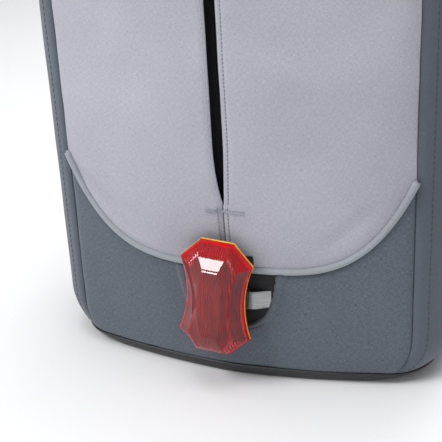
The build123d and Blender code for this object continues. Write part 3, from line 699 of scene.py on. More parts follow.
def window():
    """Dark window behind the lower panel, with a pleat, and its stitched edge."""
    rows, columns = 60, 81
    z = np.linspace(WINDOW_LOW + 0.4 * MM, WINDOW_TOP, rows)
    t = np.linspace(-1, 1, columns)
    x = window_half_width(z)[:, None] * t[None, :]
    flat = np.stack([x, np.broadcast_to(z[:, None], x.shape)], axis=-1)
    pleat_z = loop_hi[2] + 5 * MM
    pleat = np.clip((flat[..., 1] - pleat_z) / (1.5 * MM), 0, 1)
    out = 0.25 * MM + 0.55 * MM * pleat * (1 - np.clip((flat[..., 1] - pleat_z) / (9 * MM), 0, 1))
    out += 0.12 * MM * np.sin(flat[..., 1] / (1.6 * MM))
    points = lift_front(flat, out)
    obj = sheet_from_grid("window_cloth", points, forward, 0.5 * MM, "dark_fabric", "flap", uv=flat)
    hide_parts("window_patch")
    edge_z = np.linspace(WINDOW_TOP - 1 * MM, WINDOW_LOW - 3.2 * MM, 60)
    right_x = []
    for z_here in edge_z:
        t_here = np.clip((WINDOW_TOP - z_here) / (WINDOW_TOP - WINDOW_LOW + 3.4 * MM), 0, 1)
        right_x.append((WINDOW_HALF + 4.2 * MM) * (1 - 0.22 * t_here)
                       * math.sqrt(max(1 - t_here ** 5, 0)))
    right_x = np.array(right_x)
    xs = np.concatenate([right_x, -right_x[::-1]])
    zs = np.concatenate([edge_z, edge_z[::-1]])
    ys = front_depth(xs, zs) - 1.65 * MM
    path = np.stack([xs, ys, zs], axis=1)
    up = np.tile([0.0, -1.0, 0.0], (len(path), 1))
    stitches("window_stitches", path, up, 2.9 * MM, 1.9 * MM, 0.75 * MM, "dark_fabric", "flap",
             "thread_dark")


# ---- Flap: upper panels ---------------------------------------------------------------
def slit_edge(side, z):
    """x of the panel's folded edge beside the slit."""
    closing = np.clip((z - SLIT_LOW) / (46 * MM), 0, 1)
    opening = np.clip((z - 288 * MM) / (14 * MM), 0, 1)
    if side < 0:
        edge = 0.7 * MM - 5.6 * MM * np.sin(closing * math.pi / 2) ** 0.8
        return edge * (1 - opening) - 4.7 * MM * opening
    edge = 0.9 * MM + 1.5 * MM * np.sin(closing * math.pi / 2) ** 0.8
    return edge * (1 - opening) + 4.7 * MM * opening


def panel_puff(x, z):
    """How far the padded upper panel stands proud."""
    from_pipe = z - pipe_height(x)
    from_side = edge_distance(x, z) - (HALF - SEAM_X)
    shape = rise(from_pipe, 9 * MM) * (0.45 + 0.55 * rise(from_pipe, 34 * MM))
    shape = shape * rise(from_side, 5 * MM) * (0.35 + 0.65 * rise(from_side, 26 * MM))
    centre = 0.88 + 0.12 * rise(np.abs(x), 14 * MM)
    return 10.5 * MM * shape * centre


CREASES = (
    # x and z of both ends, width and depth
    ((-121, 150), (-66, 112), 5.0, -3.4),
    ((-112, 158), (-60, 124), 7.0, 2.0),
    ((-88, 116), (-50, 100), 5.0, -1.8),
    ((104, 142), (62, 104), 6.0, -2.2),
    ((-60, 215), (-10, 190), 14.0, 1.0),
    ((6, 262), (84, 226), 9.0, -1.3),
    ((8, 246), (92, 206), 11.0, 1.3),
    ((10, 190), (70, 168), 10.0, -0.8),
    ((-40, 120), (-12, 128), 8.0, -0.6),
    ((12, 128), (46, 116), 8.0, -0.7),
    ((-120, 300), (-60, 250), 16.0, -1.2),
    ((118, 290), (70, 240), 16.0, -1.2),
    ((60, 400), (100, 350), 12.0, -1.0),
    ((-55, 405), (-100, 345), 12.0, -1.0),
)


def creases(x, z):
    """Soft folds in the padded panel."""
    total = np.zeros_like(x)
    for start, end, width, depth in CREASES:
        a = np.array(start) * MM
        b = np.array(end) * MM
        along = b - a
        length = np.hypot(*along)
        t = ((x - a[0]) * along[0] + (z - a[1]) * along[1]) / length ** 2
        near = np.clip(t, 0, 1)
        gap = np.hypot(x - a[0] - near * along[0], z - a[1] - near * along[1])
        fade = np.sin(np.clip(near, 0.02, 0.98) * math.pi)
        total += depth * MM * fade * np.exp(-(gap / (width * MM)) ** 2)
    return total


def upper_panel(side):
    """One half of the padded upper panel, from the slit to the side seam."""
    rows, columns = 221, 121
    split = 0.69                      # along the outline, where the top edge ends
    crown = seam_curve(np.linspace(0.5, split, columns))
    middle_top = crown[0][1]
    z = np.linspace(PIPE_LOW + PIPE_GAP, middle_top, rows)
    edge = np.where(z > SLIT_LOW, side * slit_edge(side, z), 0.15 * MM)
    edge = np.where(z > SLIT_HIGH, 0.15 * MM, edge)
    inner = np.stack([edge, z], axis=1)
    outer = seam_curve(np.linspace(S_CROSS, split, rows))
    xs = np.linspace(inner[0][0], CROSSING[0], columns)
    bottom = np.stack([xs, pipe_height(xs) + PIPE_GAP], axis=1)
    outer[0] = bottom[-1]
    crown[0] = inner[-1]
    flat = coons(bottom, crown, inner, outer)
    flat = flat * np.array([side, 1])
    x, z = flat[..., 0], flat[..., 1]
    out = panel_puff(x, z) + creases(x, z)
    grid3 = np.stack([x, front_depth(x, z), z], axis=-1)
    calm = rise(z - pipe_height(x), 14 * MM)
    out += calm * (2.0 * MM * soft_noise(grid3, 13.0, 1.0) + 0.6 * MM * soft_noise(grid3, 40.0))
    from_slit = np.abs(x - side * np.interp(z, inner[:, 1], inner[:, 0]))
    at_slit = (z > SLIT_LOW) & (z < SLIT_HIGH)
    fold = np.exp(-(from_slit / (1.6 * MM)) ** 2)
    out -= np.where(at_slit, 1.3 * MM * fold, 1.6 * MM * fold)
    lap_at = 3.6 * MM if side > 0 else 2.4 * MM
    lap = np.exp(-((from_slit - lap_at) / (1.0 * MM)) ** 2)
    out -= (1.0 if side > 0 else 0.5) * MM * lap
    points = lift_front(flat, out)
    name = "upper_front_" + ("left" if side < 0 else "right")
    obj = sheet_from_grid(name, points, forward, WALL, "light_twill", "flap", uv=flat)
    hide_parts("front_panel_left" if side < 0 else "front_panel_right")

    first = np.argmax(z[:, 0] > SLIT_LOW)
    last = np.argmax(z[:, 0] > SLIT_HIGH)
    normal = grid_normals(points)
    normal *= np.where(normal[..., 1:2] > 0, -1, 1)
    shift = side * lap_at
    for start, stop, label in ((first, last, "slit"), (0, first, "seam")):
        rows_used = range(start, stop)
        path, up = [], []
        for i in rows_used:
            offset = shift if label == "slit" else side * 3.4 * MM
            target = x[i, 0] + offset
            j = np.argmin(np.abs(x[i] - target))
            path.append(points[i, j])
            up.append(normal[i, j])
        thickness = 0.9 * MM if side > 0 else 0.6 * MM
        thread = "thread_light" if side < 0 and label == "slit" else "thread_mid"
        stitches(name + "_" + label + "_stitches", path, up, 2.6 * MM, 1.9 * MM, thickness,
                 "thread_grey", "flap", thread, 0.15 * MM)
    return points


def bar_tack(points_left, points_right):
    """Dense zigzag tack across the foot of the slit."""
    centre_x, width, z = 1.6 * MM, 27 * MM, (tack_lo[2] + tack_hi[2]) / 2
    count = 34
    xs = np.linspace(centre_x - width / 2, centre_x + width / 2, count * 2)
    cloud = np.concatenate([points_left.reshape(-1, 3), points_right.reshape(-1, 3)])
    near = cloud[np.abs(cloud[:, 2] - z) < 3 * MM]
    near = near[np.argsort(near[:, 0])]
    ys = np.interp(xs, near[:, 0], near[:, 1])
    ys = np.convolve(np.pad(ys, 6, mode="edge"), np.ones(13) / 13, mode="valid") - 0.75 * MM
    zs = z + 0.75 * MM * np.where(np.arange(count * 2) % 2 == 0, -1, 1)
    path = np.stack([xs, ys, zs], axis=1)
    tack = tube("tack_thread", path, 0.42 * MM, "thread_grey", "flap", 6,
                material="thread_light")
    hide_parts("bar_tack")


def piping():
    """Covered piping cord along the seam between the panels."""
    x = np.linspace(-CROSSING[0] - 0.2 * MM, CROSSING[0] + 0.2 * MM, 260)
    z = pipe_height(x)
    flat = np.stack([x, z], axis=-1)[None].repeat(3, axis=0)
    flat[0, :, 1] -= 1 * MM
    flat[2, :, 1] += 1 * MM
    lifted = lift_front(flat, np.zeros(flat.shape[:2]) + 0.7 * MM)[1]
    cord = tube("piping_cord", lifted, PIPE_RADIUS, "piping_grey", "flap", 20)
    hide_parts("front_piping")
    for side, label in ((1, "above"), (-1, "below")):
        flat2 = flat.copy()
        flat2[..., 1] += side * PIPE_RADIUS * 1.06
        line = lift_front(flat2, np.zeros(flat2.shape[:2]) - 2.3 * MM)[1]
        tube("seam_shadow_" + label, line, 1.5 * MM, "dark_fabric", "flap", 8)


# ---- Bands round the pack -------------------------------------------------------------
BAND_COLUMNS = 420


def band(name, y0, y1, slot, body, steps, swell, noisy=1.0):
    """Cloth band between two depths, running up one side, over the arch and down."""
    s = np.linspace(0, 1, BAND_COLUMNS)
    x, z, ix, iz = outline_point(s)
    rows = []
    for y in np.linspace(y0, y1, steps):
        inset = np.full_like(s, back_inset(y)) if y > BACK_SEAM else inset_at(s, y)
        rows.append(np.stack([x + ix * inset, np.full_like(x, y), z + iz * inset], axis=-1))
    points = np.array(rows)
    share = np.abs(np.linspace(-1, 1, steps))[:, None]
    edge = 1 - share ** 6
    outward = -np.stack([ix, 0 * ix, iz], axis=-1)[None]
    bulge = swell * edge - 0.4 * MM * share ** 6
    bulge = bulge + noisy * MM * soft_noise(points, 20.0, 7.0) * edge
    points = points + outward * bulge[..., None]
    obj = sheet_from_grid(name, points, away, WALL, slot, body)
    return obj, points


def side_parts():
    """Gussets, zip tapes and the seam stitching beside them."""
    seam, gusset_points = band("side_gusset", SEAM + 0.3 * MM, ZIP_EDGE, "side_fabric", "flap", 30,
                               -0.8 * MM, noisy=0.6)
    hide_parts("flap_gusset")
    rear, rear_points = band("rear_side_gusset", REAR_ZIP_EDGE, BACK_SEAM, "dark_fabric", "pack",
                             18, 1.4 * MM)
    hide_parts("rear_gusset")
    front_tape = band("zip_tape_flap", ZIP_EDGE, FLAP_EDGE - 1.8 * MM, "zip_tape", "flap", 8,
                      0.1 * MM, noisy=0.1)[0]
    rear_tape = band("zip_tape_pack", REAR_EDGE + 1.8 * MM, REAR_ZIP_EDGE, "zip_tape", "pack", 8,
                     0.1 * MM, noisy=0.1)[0]
    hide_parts("main_zip_front")
    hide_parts("main_zip_rear")
    ix, iz = outline_point(np.linspace(0, 1, BAND_COLUMNS))[2:]
    up = -np.stack([ix, 0 * ix, iz], axis=-1)
    for row, label, points, body in ((2, "seam", gusset_points, "flap"),
                                     (-2, "zip", gusset_points, "flap"),
                                     (1, "rear_zip", rear_points, "pack")):
        stitches("gusset_" + label + "_stitches", points[row], up, 4.2 * MM, 2.9 * MM, 0.8 * MM,
                 "side_fabric", body, "thread_dark", 0.1 * MM)
    zip_teeth("flap", FLAP_EDGE - 1.5 * MM, 0.0)
    zip_teeth("pack", REAR_EDGE + 1.5 * MM, 0.5)


def zip_teeth(body, y, phase):
    """Row of moulded teeth round the flap's opening."""
    pitch = 2.8 * MM
    leg = ARCH - BASE
    total = 2 * leg + math.pi * HALF
    count = int(total / pitch)
    verts, faces = [], []
    for k in range(4, count - 4):
        s = np.array([(k + phase) / count])
        x, z, ix, iz = (float(v[0]) for v in outline_point(s))
        out = np.array([-ix, 0, -iz])
        along = np.array([-iz, 0, ix])
        centre = np.array([x, y, z]) + out * 0.6 * MM
        start = len(verts)
        for lift, spread in ((-0.9, 0.52), (0.35, 0.52), (0.8, 0.30)):
            for a, b in ((-1, -1), (1, -1), (1, 1), (-1, 1)):
                verts.append(centre + out * lift * MM + along * a * spread * pitch * 0.6
                             + np.array([0, b * 1.35 * MM * (0.75 + 0.25 * (lift < 0.5)), 0]))
        faces += grid_faces(3, 4, start, False, True)
        faces.append([start, start + 1, start + 2, start + 3][::-1])
        faces.append([start + 8, start + 9, start + 10, start + 11])
    uvs = [[v[0], v[2]] for v in verts]
    add_object("zip_teeth_" + body, verts, faces, "zip_tape", body, uvs, "black_plastic", False)


# ---- Base and back --------------------------------------------------------------------
def plan_loop(z, count):
    """Closed plan outline of the pack at height z, and its outward direction."""
    half = float(half_width_at(np.array(z)))
    front_n = int(count * 0.55)
    xs = half * np.sin(np.linspace(-math.pi / 2, math.pi / 2, front_n))
    ys = side_profile(np.abs(xs) + (HALF - half))
    back_corner = BACK - BACK_ROUND
    rest = count - front_n
    side_n, corner_n = rest // 6, rest // 6
    back_n = rest - 2 * (side_n + corner_n)
    top_y = float(ys[-1])
    pts = list(zip(xs, ys))
    for k in range(1, side_n + 1):
        pts.append((half, top_y + (back_corner - top_y) * k / side_n))
    for k in range(1, corner_n + 1):
        a = math.pi / 2 * k / corner_n
        pts.append((half - BACK_ROUND + BACK_ROUND * math.cos(a),
                    back_corner + BACK_ROUND * math.sin(a)))
    end = half - BACK_ROUND
    for k in range(1, back_n + 1):
        pts.append((end - 2 * end * k / (back_n + 1), BACK))
    for k in range(corner_n + 1):
        a = math.pi / 2 * (1 - k / corner_n)
        pts.append((-half + BACK_ROUND - BACK_ROUND * math.cos(a),
                    back_corner + BACK_ROUND * math.sin(a)))
    for k in range(1, side_n):
        pts.append((-half, back_corner + (top_y - back_corner) * k / side_n))
    pts = np.array(pts)
    ahead = np.roll(pts, -1, axis=0) - np.roll(pts, 1, axis=0)
    out = np.stack([ahead[:, 1], -ahead[:, 0]], axis=1)
    out /= np.linalg.norm(out, axis=1, keepdims=True) + 1e-12
    return pts, out


def base():
    """Coated base: a band, its bound top edge and the ground face."""
    levels = ((BASE, -1.2), (BASE, 0.2), (BASE - 1.4 * MM, 0.5), (BASE * 0.55, 0.4),
              (2.2 * MM, 0.1), (0.8 * MM, -0.6), (0.15 * MM, -2.2), (0.0, -5.0), (0.0, -30.0),
              (0.0, -60.0))
    rings = []
    for z, out_mm in levels:
        pts, out = plan_loop(max(z, 0.5 * MM), 240)
        pts = pts + out * out_mm * MM
        rings.append(np.column_stack([pts, np.full(len(pts), z)]))
    rings = np.array(rings)
    count = rings.shape[1]
    faces = grid_faces(len(rings), count, 0, True, True)
    verts = list(rings.reshape(-1, 3))
    start = len(verts) - count
    faces.append([start + k for k in range(count)][::-1])
    floor_z = 2.2 * MM
    top_start = len(verts)
    inset = 3.5 * MM
    pts, out = plan_loop(BASE, 240)
    verts += [(*p, BASE - 0.4 * MM) for p in pts - out * inset]
    verts += [(*p, floor_z) for p in pts - out * (inset + 8 * MM)]
    faces += grid_faces(2, count, top_start, False, True)
    faces.append([top_start + count + k for k in range(count)])
    faces += ring_wall(count, 0, top_start)
    uvs = [[v[0] + v[1], v[2]] for v in verts]
    obj = add_object("base_shell", verts, faces, "coated_base", "pack", uvs)
    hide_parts("base_panel")
    pts, out = plan_loop(BASE, 320)
    path = np.column_stack([pts + out * 0.3 * MM, np.full(len(pts), BASE + 0.1 * MM)])
    path = np.concatenate([path, path[:2]])
    tube("base_binding", path, 1.0 * MM, "coated_base", "pack", 8, up=(0, 0, 1))


def back():
    """Back panel with its rounded edge."""
    s = np.linspace(0, 1, 360)
    rows = []
    x, z, ix, iz = outline_point(s)
    for k in range(9):
        y = BACK_SEAM + (BACK - BACK_SEAM) * math.sin(math.pi / 2 * k / 8)
        inset = back_inset(y)
        rows.append(np.stack([x + ix * inset, np.full_like(x, y), z + iz * inset], axis=-1))
    edge = rows[-1]
    centre = np.array([0, BACK, 0.42 * TOP])
    for share in np.linspace(0.94, 0.02, 24):
        rows.append(centre + (edge - centre) * share)
    points = np.array(rows)
    calm = rise(np.abs(edge_distance(points[..., 0], points[..., 2])), 30 * MM)
    points[..., 1] += -0.5 * MM + 0.5 * MM * calm * soft_noise(points, 18.0, 5.0)
    obj = sheet_from_grid("back_cloth", points, lambda p: np.array([0, 1, 0.2]), WALL,
                          "dark_fabric", "pack")
    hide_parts("back_panel")


def cushion(name, node_name, slot, body, channels=()):
    """Crowned pad in the space of a CAD pad, with pulled-in sides and sewn channels."""
    lo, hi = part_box(node_name)
    rows, columns = 90, 90
    u = np.linspace(-1, 1, columns)
    v = np.linspace(-1, 1, rows)
    uu, vv = np.meshgrid(u, v)
    half_x, half_z = (hi[0] - lo[0]) / 2, (hi[2] - lo[2]) / 2
    power = 5.0
    squareness = (np.abs(uu) ** power + np.abs(vv) ** power) ** (1 / power)
    ring = np.maximum(np.abs(uu), np.abs(vv)) + 1e-9
    scale = ring / np.maximum(squareness, 1e-9)
    pull = 1 - 0.02 * (1 - np.minimum(np.abs(uu), np.abs(vv)) ** 2)
    x = (lo[0] + hi[0]) / 2 + half_x * uu * scale * pull
    z = (lo[2] + hi[2]) / 2 + half_z * vv * scale * pull
    depth = hi[1] - lo[1]
    edge = np.minimum(half_x * (1 - ring), half_z * (1 - ring))
    crown = 1 - np.clip(1 - edge / (14 * MM), 0, 1) ** 2.6
    thick = depth * (0.30 + 0.66 * crown)
    for level in channels:
        thick -= 0.42 * depth * np.exp(-((z - level) / (3.2 * MM)) ** 2) * crown
    grid3 = np.stack([x, 0 * x, z], axis=-1)
    thick += 0.5 * MM * soft_noise(grid3, 30.0, 2.0) * crown
    points = np.stack([x, lo[1] + thick, z], axis=-1)
    normal = grid_normals(points)
    inner = points.copy()
    inner[..., 1] = lo[1] + 0.2 * MM
    count = rows * columns
    verts = np.concatenate([points.reshape(-1, 3), inner.reshape(-1, 3)])
    flip = normal[rows // 2, columns // 2][1] < 0
    faces = grid_faces(rows, columns, 0, flip) + grid_faces(rows, columns, count, not flip)
    rim = grid_rim(rows, columns)
    faces += rim_wall(rim, count, flip)
    uv = np.stack([x, z], axis=-1).reshape(-1, 2)
    obj = add_object(name, verts, faces, slot, body, np.concatenate([uv, uv]))
    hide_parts(node_name)
    path = points.reshape(-1, 3)[rim]
    path[:, 1] = lo[1] + depth * 0.28
    path = np.concatenate([path, path[:2]])
    tube(name + "_binding", path, 1.5 * MM, slot, body, 8, material="webbing_black",
         up=(0, 1, 0))


# ---- Clip-on light's lens -------------------------------------------------------------
LIGHT_TILT = math.radians(4.5)
LIGHT_X = (case_lo[0] + case_hi[0]) / 2
LIGHT_Z = (case_lo[2] + case_hi[2]) / 2
ARC_STEPS = 16
# half widths at the end, shoulder and middle, half heights of end and shoulder, depth
LENS_RINGS = (
    (11.7, 25.8, 20.8, 42.8, 28.1, -0.4),
    (11.7, 25.8, 20.8, 42.8, 28.1, 1.2),
    (11.3, 25.2, 20.2, 42.2, 27.9, 3.0),
    (10.9, 24.4, 19.2, 41.4, 27.7, 3.5),
    (10.7, 21.4, 15.4, 39.8, 27.4, 6.4),
    (10.0, 17.3, 12.4, 38.0, 27.0, 9.8),
    (9.4, 14.8, 11.4, 35.4, 25.6, 11.4),
    (5.6, 7.3, 9.4, 26.6, 22.2, 13.9),
    (5.2, 6.4, 8.5, 25.4, 21.6, 14.4),
)
RING_MATERIALS = (2, 2, 2, 0, 0, 1, 0, 0)


def lens_ring(end, shoulder, middle, height, shoulder_z, depth):
    """One ring of the lens in the light's own axes."""
    angle = np.linspace(-1, 1, ARC_STEPS + 1)
    side_z = -angle * shoulder_z
    side_x = middle + (shoulder - middle) * angle ** 2
    right = list(zip(side_x, side_z))
    left = [(-x, -z) for x, z in right]
    ring = right + [(end, -height), (-end, -height)] + left + [(-end, height), (end, height)]
    return [(x, depth, z) for x, z in ring]


def at_light(points):
    """Points about the light's middle, in millimetres, moved to its place."""
    points = np.asarray(points, dtype=float) * MM
    x, depth, z = points[:, 0], points[:, 1], points[:, 2]
    turned_x = x * math.cos(LIGHT_TILT) + z * math.sin(LIGHT_TILT)
    turned_z = -x * math.sin(LIGHT_TILT) + z * math.cos(LIGHT_TILT)
    return np.stack([LIGHT_X + turned_x, lens_hi[1] - depth, LIGHT_Z + turned_z], axis=1)


def lens():
    """Faceted lens: clear shell with a bright rim and prismed sides and ends."""
    shell = 1.8
    outer = [lens_ring(*values) for values in LENS_RINGS]
    inner = []
    for end, shoulder, middle, height, shoulder_z, depth in LENS_RINGS[1:]:
        inner.append(lens_ring(end - 0.6 * shell, shoulder - shell, middle - shell,
                               height - shell, shoulder_z - 0.3 * shell,
                               max(depth - 1.2 - 0.03 * depth * shell, 0.0)))
    count = len(outer[0])
    rings = outer + inner[::-1]
    local = [point for ring in rings for point in ring]
    faces = grid_faces(len(outer), count, 0, False, True)
    ends = set(range(ARC_STEPS, ARC_STEPS + 3)) | set(range(count - 3, count))
    slots = [1 if 3 <= i <= 5 and k in ends else RING_MATERIALS[i]
             for i in range(len(outer) - 1) for k in range(count)]
    start = len(outer) * count
    faces.append([start - count + k for k in range(count)])
    slots.append(0)
    faces.append([start + k for k in range(count)][::-1])
    slots.append(1)
    inside = grid_faces(len(inner), count, start, False, True)
    faces += inside
    slots += [1] * len(inside)
    last = len(local) - count
    faces += ring_wall(count, last, 0)
    slots += [2] * count
    uvs = np.array([[p[0] * MM, p[2] * MM] for p in local])
    obj = add_object("lens_shell", at_light(local), faces, "red_lens", "light", uvs)
    obj.data.materials.append(MATS["red_prism"])
    obj.data.materials.append(MATS["red_edge"])
    obj.data.polygons.foreach_set("material_index", slots)
    obj.data.set_sharp_from_angle(angle=math.radians(16))
    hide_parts("light_lens")
    # The dark box is painted shade: a dark block behind the front that stands for the shade in the
    # lens's recess under its upper facets.
    for label, x, z, half_x, half_z, material in (("recess_shade", 0.2, 21.6, 4.4, 2.6, "lens_shadow"),
                                                  ("slot", 0.2, -19.0, 3.8, 1.3, "red_edge")):
        local = [(x + a * half_x, depth, z + b * half_z) for depth in (11.2, 10.2)
                 for a, b in ((-1, -1), (1, -1), (1, 1), (-1, 1))]
        faces = [(0, 1, 2, 3), (7, 6, 5, 4), (0, 4, 5, 1), (1, 5, 6, 2), (2, 6, 7, 3), (3, 7, 4, 0)]
        uvs = [[p[0] * MM, p[2] * MM] for p in local]
        add_object("lens_" + label, at_light(local), faces, "red_lens", "light", uvs, material,
                   False)


def case_shell():
    """Light's case: open shell that narrows towards the loop."""
    depth = (case_hi[1] - lens_hi[1]) / MM
    outer = [lens_ring(11.5 - 0.6 * a, 25.5 - a, 20.5 - a, 42.5 - a, 28 - 0.3 * a, -b)
             for a, b in ((0.5, 1.5), (1.2, 3.2), (2.6, 5.4), (4.8, depth - 0.6), (6.2, depth))]
    inner = [lens_ring(11.5 - 0.6 * a, 25.5 - a, 20.5 - a, 42.5 - a, 28 - 0.3 * a, -b)
             for a, b in ((7.4, depth - 1.4), (4.6, 5.4), (3.2, 3.2), (2.5, 1.5))]
    count = len(outer[0])
    local = [point for ring in outer + inner for point in ring]
    faces = grid_faces(len(outer), count, 0, False, True)
    floor = (len(outer) - 1) * count
    faces.append([floor + k for k in range(count)])
    start = len(outer) * count
    faces += grid_faces(len(inner), count, start, False, True)
    faces.append([start + k for k in range(count)])
    last = len(local) - count
    faces += ring_wall(count, last, 0)
    uvs = np.array([[p[0] * MM, p[2] * MM] for p in local])
    obj = add_object("case_shell", at_light(local), faces, "black_plastic", "light", uvs)
    obj.data.set_sharp_from_angle(angle=math.radians(30))
    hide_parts("light_case")


# ---- Straps, webbing and pieces inside ------------------------------------------------
def rounded_path(points, radii, step=3 * MM):
    """Line through points with rounded bends, in even steps."""
    points = [np.array(p, dtype=float) for p in points]
    line = [points[0]]
    for corner, before, after, radius in zip(points[1:-1], points, points[2:], radii):
        a = (before - corner) / np.linalg.norm(before - corner)
        b = (after - corner) / np.linalg.norm(after - corner)
        turn = math.pi - math.acos(max(-1, min(1, float(np.dot(a, b)))))
        bisector = (a + b) / np.linalg.norm(a + b)
        centre = corner + bisector * radius / math.cos(turn / 2)
        start = corner + a * radius * math.tan(turn / 2) - centre
        end = corner + b * radius * math.tan(turn / 2) - centre
        for share in np.linspace(0, 1, 12):
            line.append(centre + (start * math.sin((1 - share) * turn)
                                  + end * math.sin(share * turn)) / math.sin(turn))
    line.append(points[-1])
    line = np.array(line)
    run = length_along(line)
    places = np.linspace(0, run[-1], max(int(run[-1] / step), 2))
    return np.stack([np.interp(places, run, line[:, k]) for k in range(3)], axis=1)


def run_along(name, path, across, half_width, half_thick, slot, body, power=4.0, sides=32,
              rounded_ends=True, material=None):
    """Flat or padded strip of rounded section along a path; across is its width direction."""
    path = np.asarray(path, dtype=float)
    tangent = unit(np.gradient(path, axis=0))
    across = np.broadcast_to(np.asarray(across, dtype=float), path.shape)
    lift = unit(np.cross(across, tangent))
    angle = np.linspace(0, 2 * math.pi, sides, endpoint=False)
    wide = squared_wave(np.cos(angle), 2 / power)
    thick = squared_wave(np.sin(angle), 2 / 2.4)
    half_width = np.broadcast_to(half_width, len(path)).astype(float)
    scale = np.ones(len(path))
    if rounded_ends:
        for k, share in enumerate((0.35, 0.75, 0.93)):
            scale[k] = scale[-1 - k] = share
    points = (path[:, None, :]
              + across[:, None, :] * (half_width * (0.85 + 0.15 * scale))[:, None, None]
              * wide[None, :, None]
              + lift[:, None, :] * (half_thick * scale)[:, None, None] * thick[None, :, None])
    length = length_along(path)
    uv = np.stack([wide[None, :] * half_width[:, None],
                   np.broadcast_to(length[:, None], points.shape[:2])], axis=2)
    return add_object(name, points.reshape(-1, 3), capped_tube(len(path), sides), slot, body,
                      uv.reshape(-1, 2), material)


def shoulder_straps():
    """Padded shoulder straps with a bound edge, and the webbing below them."""
    for label in ("left", "right"):
        lo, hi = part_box("shoulder_strap_" + label)
        mid = (lo[0] + hi[0]) / 2
        half = (hi[0] - lo[0]) / 2
        thick = 6 * MM
        reach = hi[1] - thick
        start = lo[1] + thick
        anchor = hi[2] - 22 * MM
        points = [(mid, start, anchor - 32 * MM), (mid, start + 2 * MM, anchor + 2 * MM),
                  (mid, reach, anchor - 22 * MM), (mid, reach, lo[2] + 38 * MM),
                  (mid, reach - 12 * MM, lo[2] + 3 * MM)]
        path = rounded_path(points, (12 * MM, 30 * MM, 60 * MM))
        share = np.linspace(0, 1, len(path))
        width = half * (0.94 + 0.05 * np.cos(share * 2 * math.pi)) - 1.5 * MM
        strap = run_along("strap_" + label, path, (1, 0, 0), width, 5.7 * MM, "padding_mesh",
                          "pack", 5.0)
        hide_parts("shoulder_strap_" + label)
        for side in (-1, 1):
            edge = path + np.array([1, 0, 0]) * (side * width)[:, None]
            tube("strap_binding_%s_%d" % (label, side), edge[2:-2], 1.3 * MM, "webbing_black",
                 "pack", 8, up=(1, 0, 0))

        lo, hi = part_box("lower_webbing_" + label)
        side = -1 if label == "left" else 1
        top = np.array([mid, hi[1] - 1.2 * MM, hi[2] - 1.2 * MM])
        foot_x = (lo[0] if side < 0 else hi[0]) - side * 9.5 * MM
        foot = np.array([foot_x, lo[1] + 1.0 * MM, lo[2] + 6 * MM])
        run = foot - top
        across = np.cross(np.cross([1, 0, 0], run), run) * -1
        across /= np.linalg.norm(across)
        path = np.array([top + run * s for s in np.linspace(0, 1, 40)])
        belt = run_along("webbing_" + label, path, across, 9.8 * MM, 0.75 * MM, "webbing_black",
                         "pack", 12.0, rounded_ends=False)
        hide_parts("lower_webbing_" + label)


def chest_strap():
    """Webbing of the sternum strap."""
    for label, body in (("left", "buckle"), ("right", "sternum")):
        lo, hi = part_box("sternum_web_" + label)
        y, z = (lo[1] + hi[1]) / 2, (lo[2] + hi[2]) / 2
        path = np.array([(x, y, z) for x in np.linspace(lo[0], hi[0], 30)])
        belt = run_along("chest_web_" + label, path, (0, 0, 1), (hi[2] - lo[2]) / 2 - 0.2 * MM,
                         (hi[1] - lo[1]) / 2, "webbing_black", body, 12.0, rounded_ends=False)
        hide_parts("sternum_web_" + label)


def ring_rod(centre, axis_half, outer, inner, sides=20):
    """Vertices and faces of a hollow rod along X."""
    verts, faces = [], []
    for x, radius in ((-1, outer), (1, outer), (1, inner), (-1, inner)):
        for k in range(sides):
            a = 2 * math.pi * k / sides
            verts.append((centre[0] + x * axis_half, centre[1] + radius * math.cos(a),
                          centre[2] + radius * math.sin(a)))
    for i in range(4):
        for k in range(sides):
            j = (k + 1) % sides
            n = (i + 1) % 4
            faces.append([i * sides + k, i * sides + j, n * sides + j, n * sides + k])
    return verts, faces


def haul_handle():
    """Webbing handle with its two eyes round the tabs' pins."""
    lo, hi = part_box("haul_handle")
    y = (lo[1] + hi[1]) / 2
    outer = (hi[0] - lo[0]) / 2
    inner = 17 * MM
    mean = (outer + inner) / 2
    top = hi[2] - 1.5 * MM
    low = lo[2] + outer
    angle = np.linspace(0, -math.pi, 40)
    arc = [(mean * math.cos(a), y, low + mean * math.sin(a)) for a in angle]
    path = [(mean, y, z) for z in np.linspace(top - 1.9 * MM, low, 6)][:-1] + arc
    path += [(-mean, y, z) for z in np.linspace(low, top - 1.9 * MM, 6)][1:]
    path = np.array(path)
    tangent = unit(np.gradient(path, axis=0))
    across = np.cross(tangent, np.array([0, 1, 0]))
    grip = run_along("handle_webbing", path, across, (outer - inner) / 2 - 0.2 * MM, 1.4 * MM,
                     "webbing_black", "handle", 8.0, rounded_ends=False)
    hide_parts("haul_handle")
    for side in (-1, 1):
        verts, faces = ring_rod((side * mean, y, top), (outer - inner) / 2, 1.45 * MM, 0.82 * MM)
        uvs = [[v[0], v[2]] for v in verts]
        add_object("handle_eye_%d" % side, verts, faces, "webbing_black", "handle", uvs)


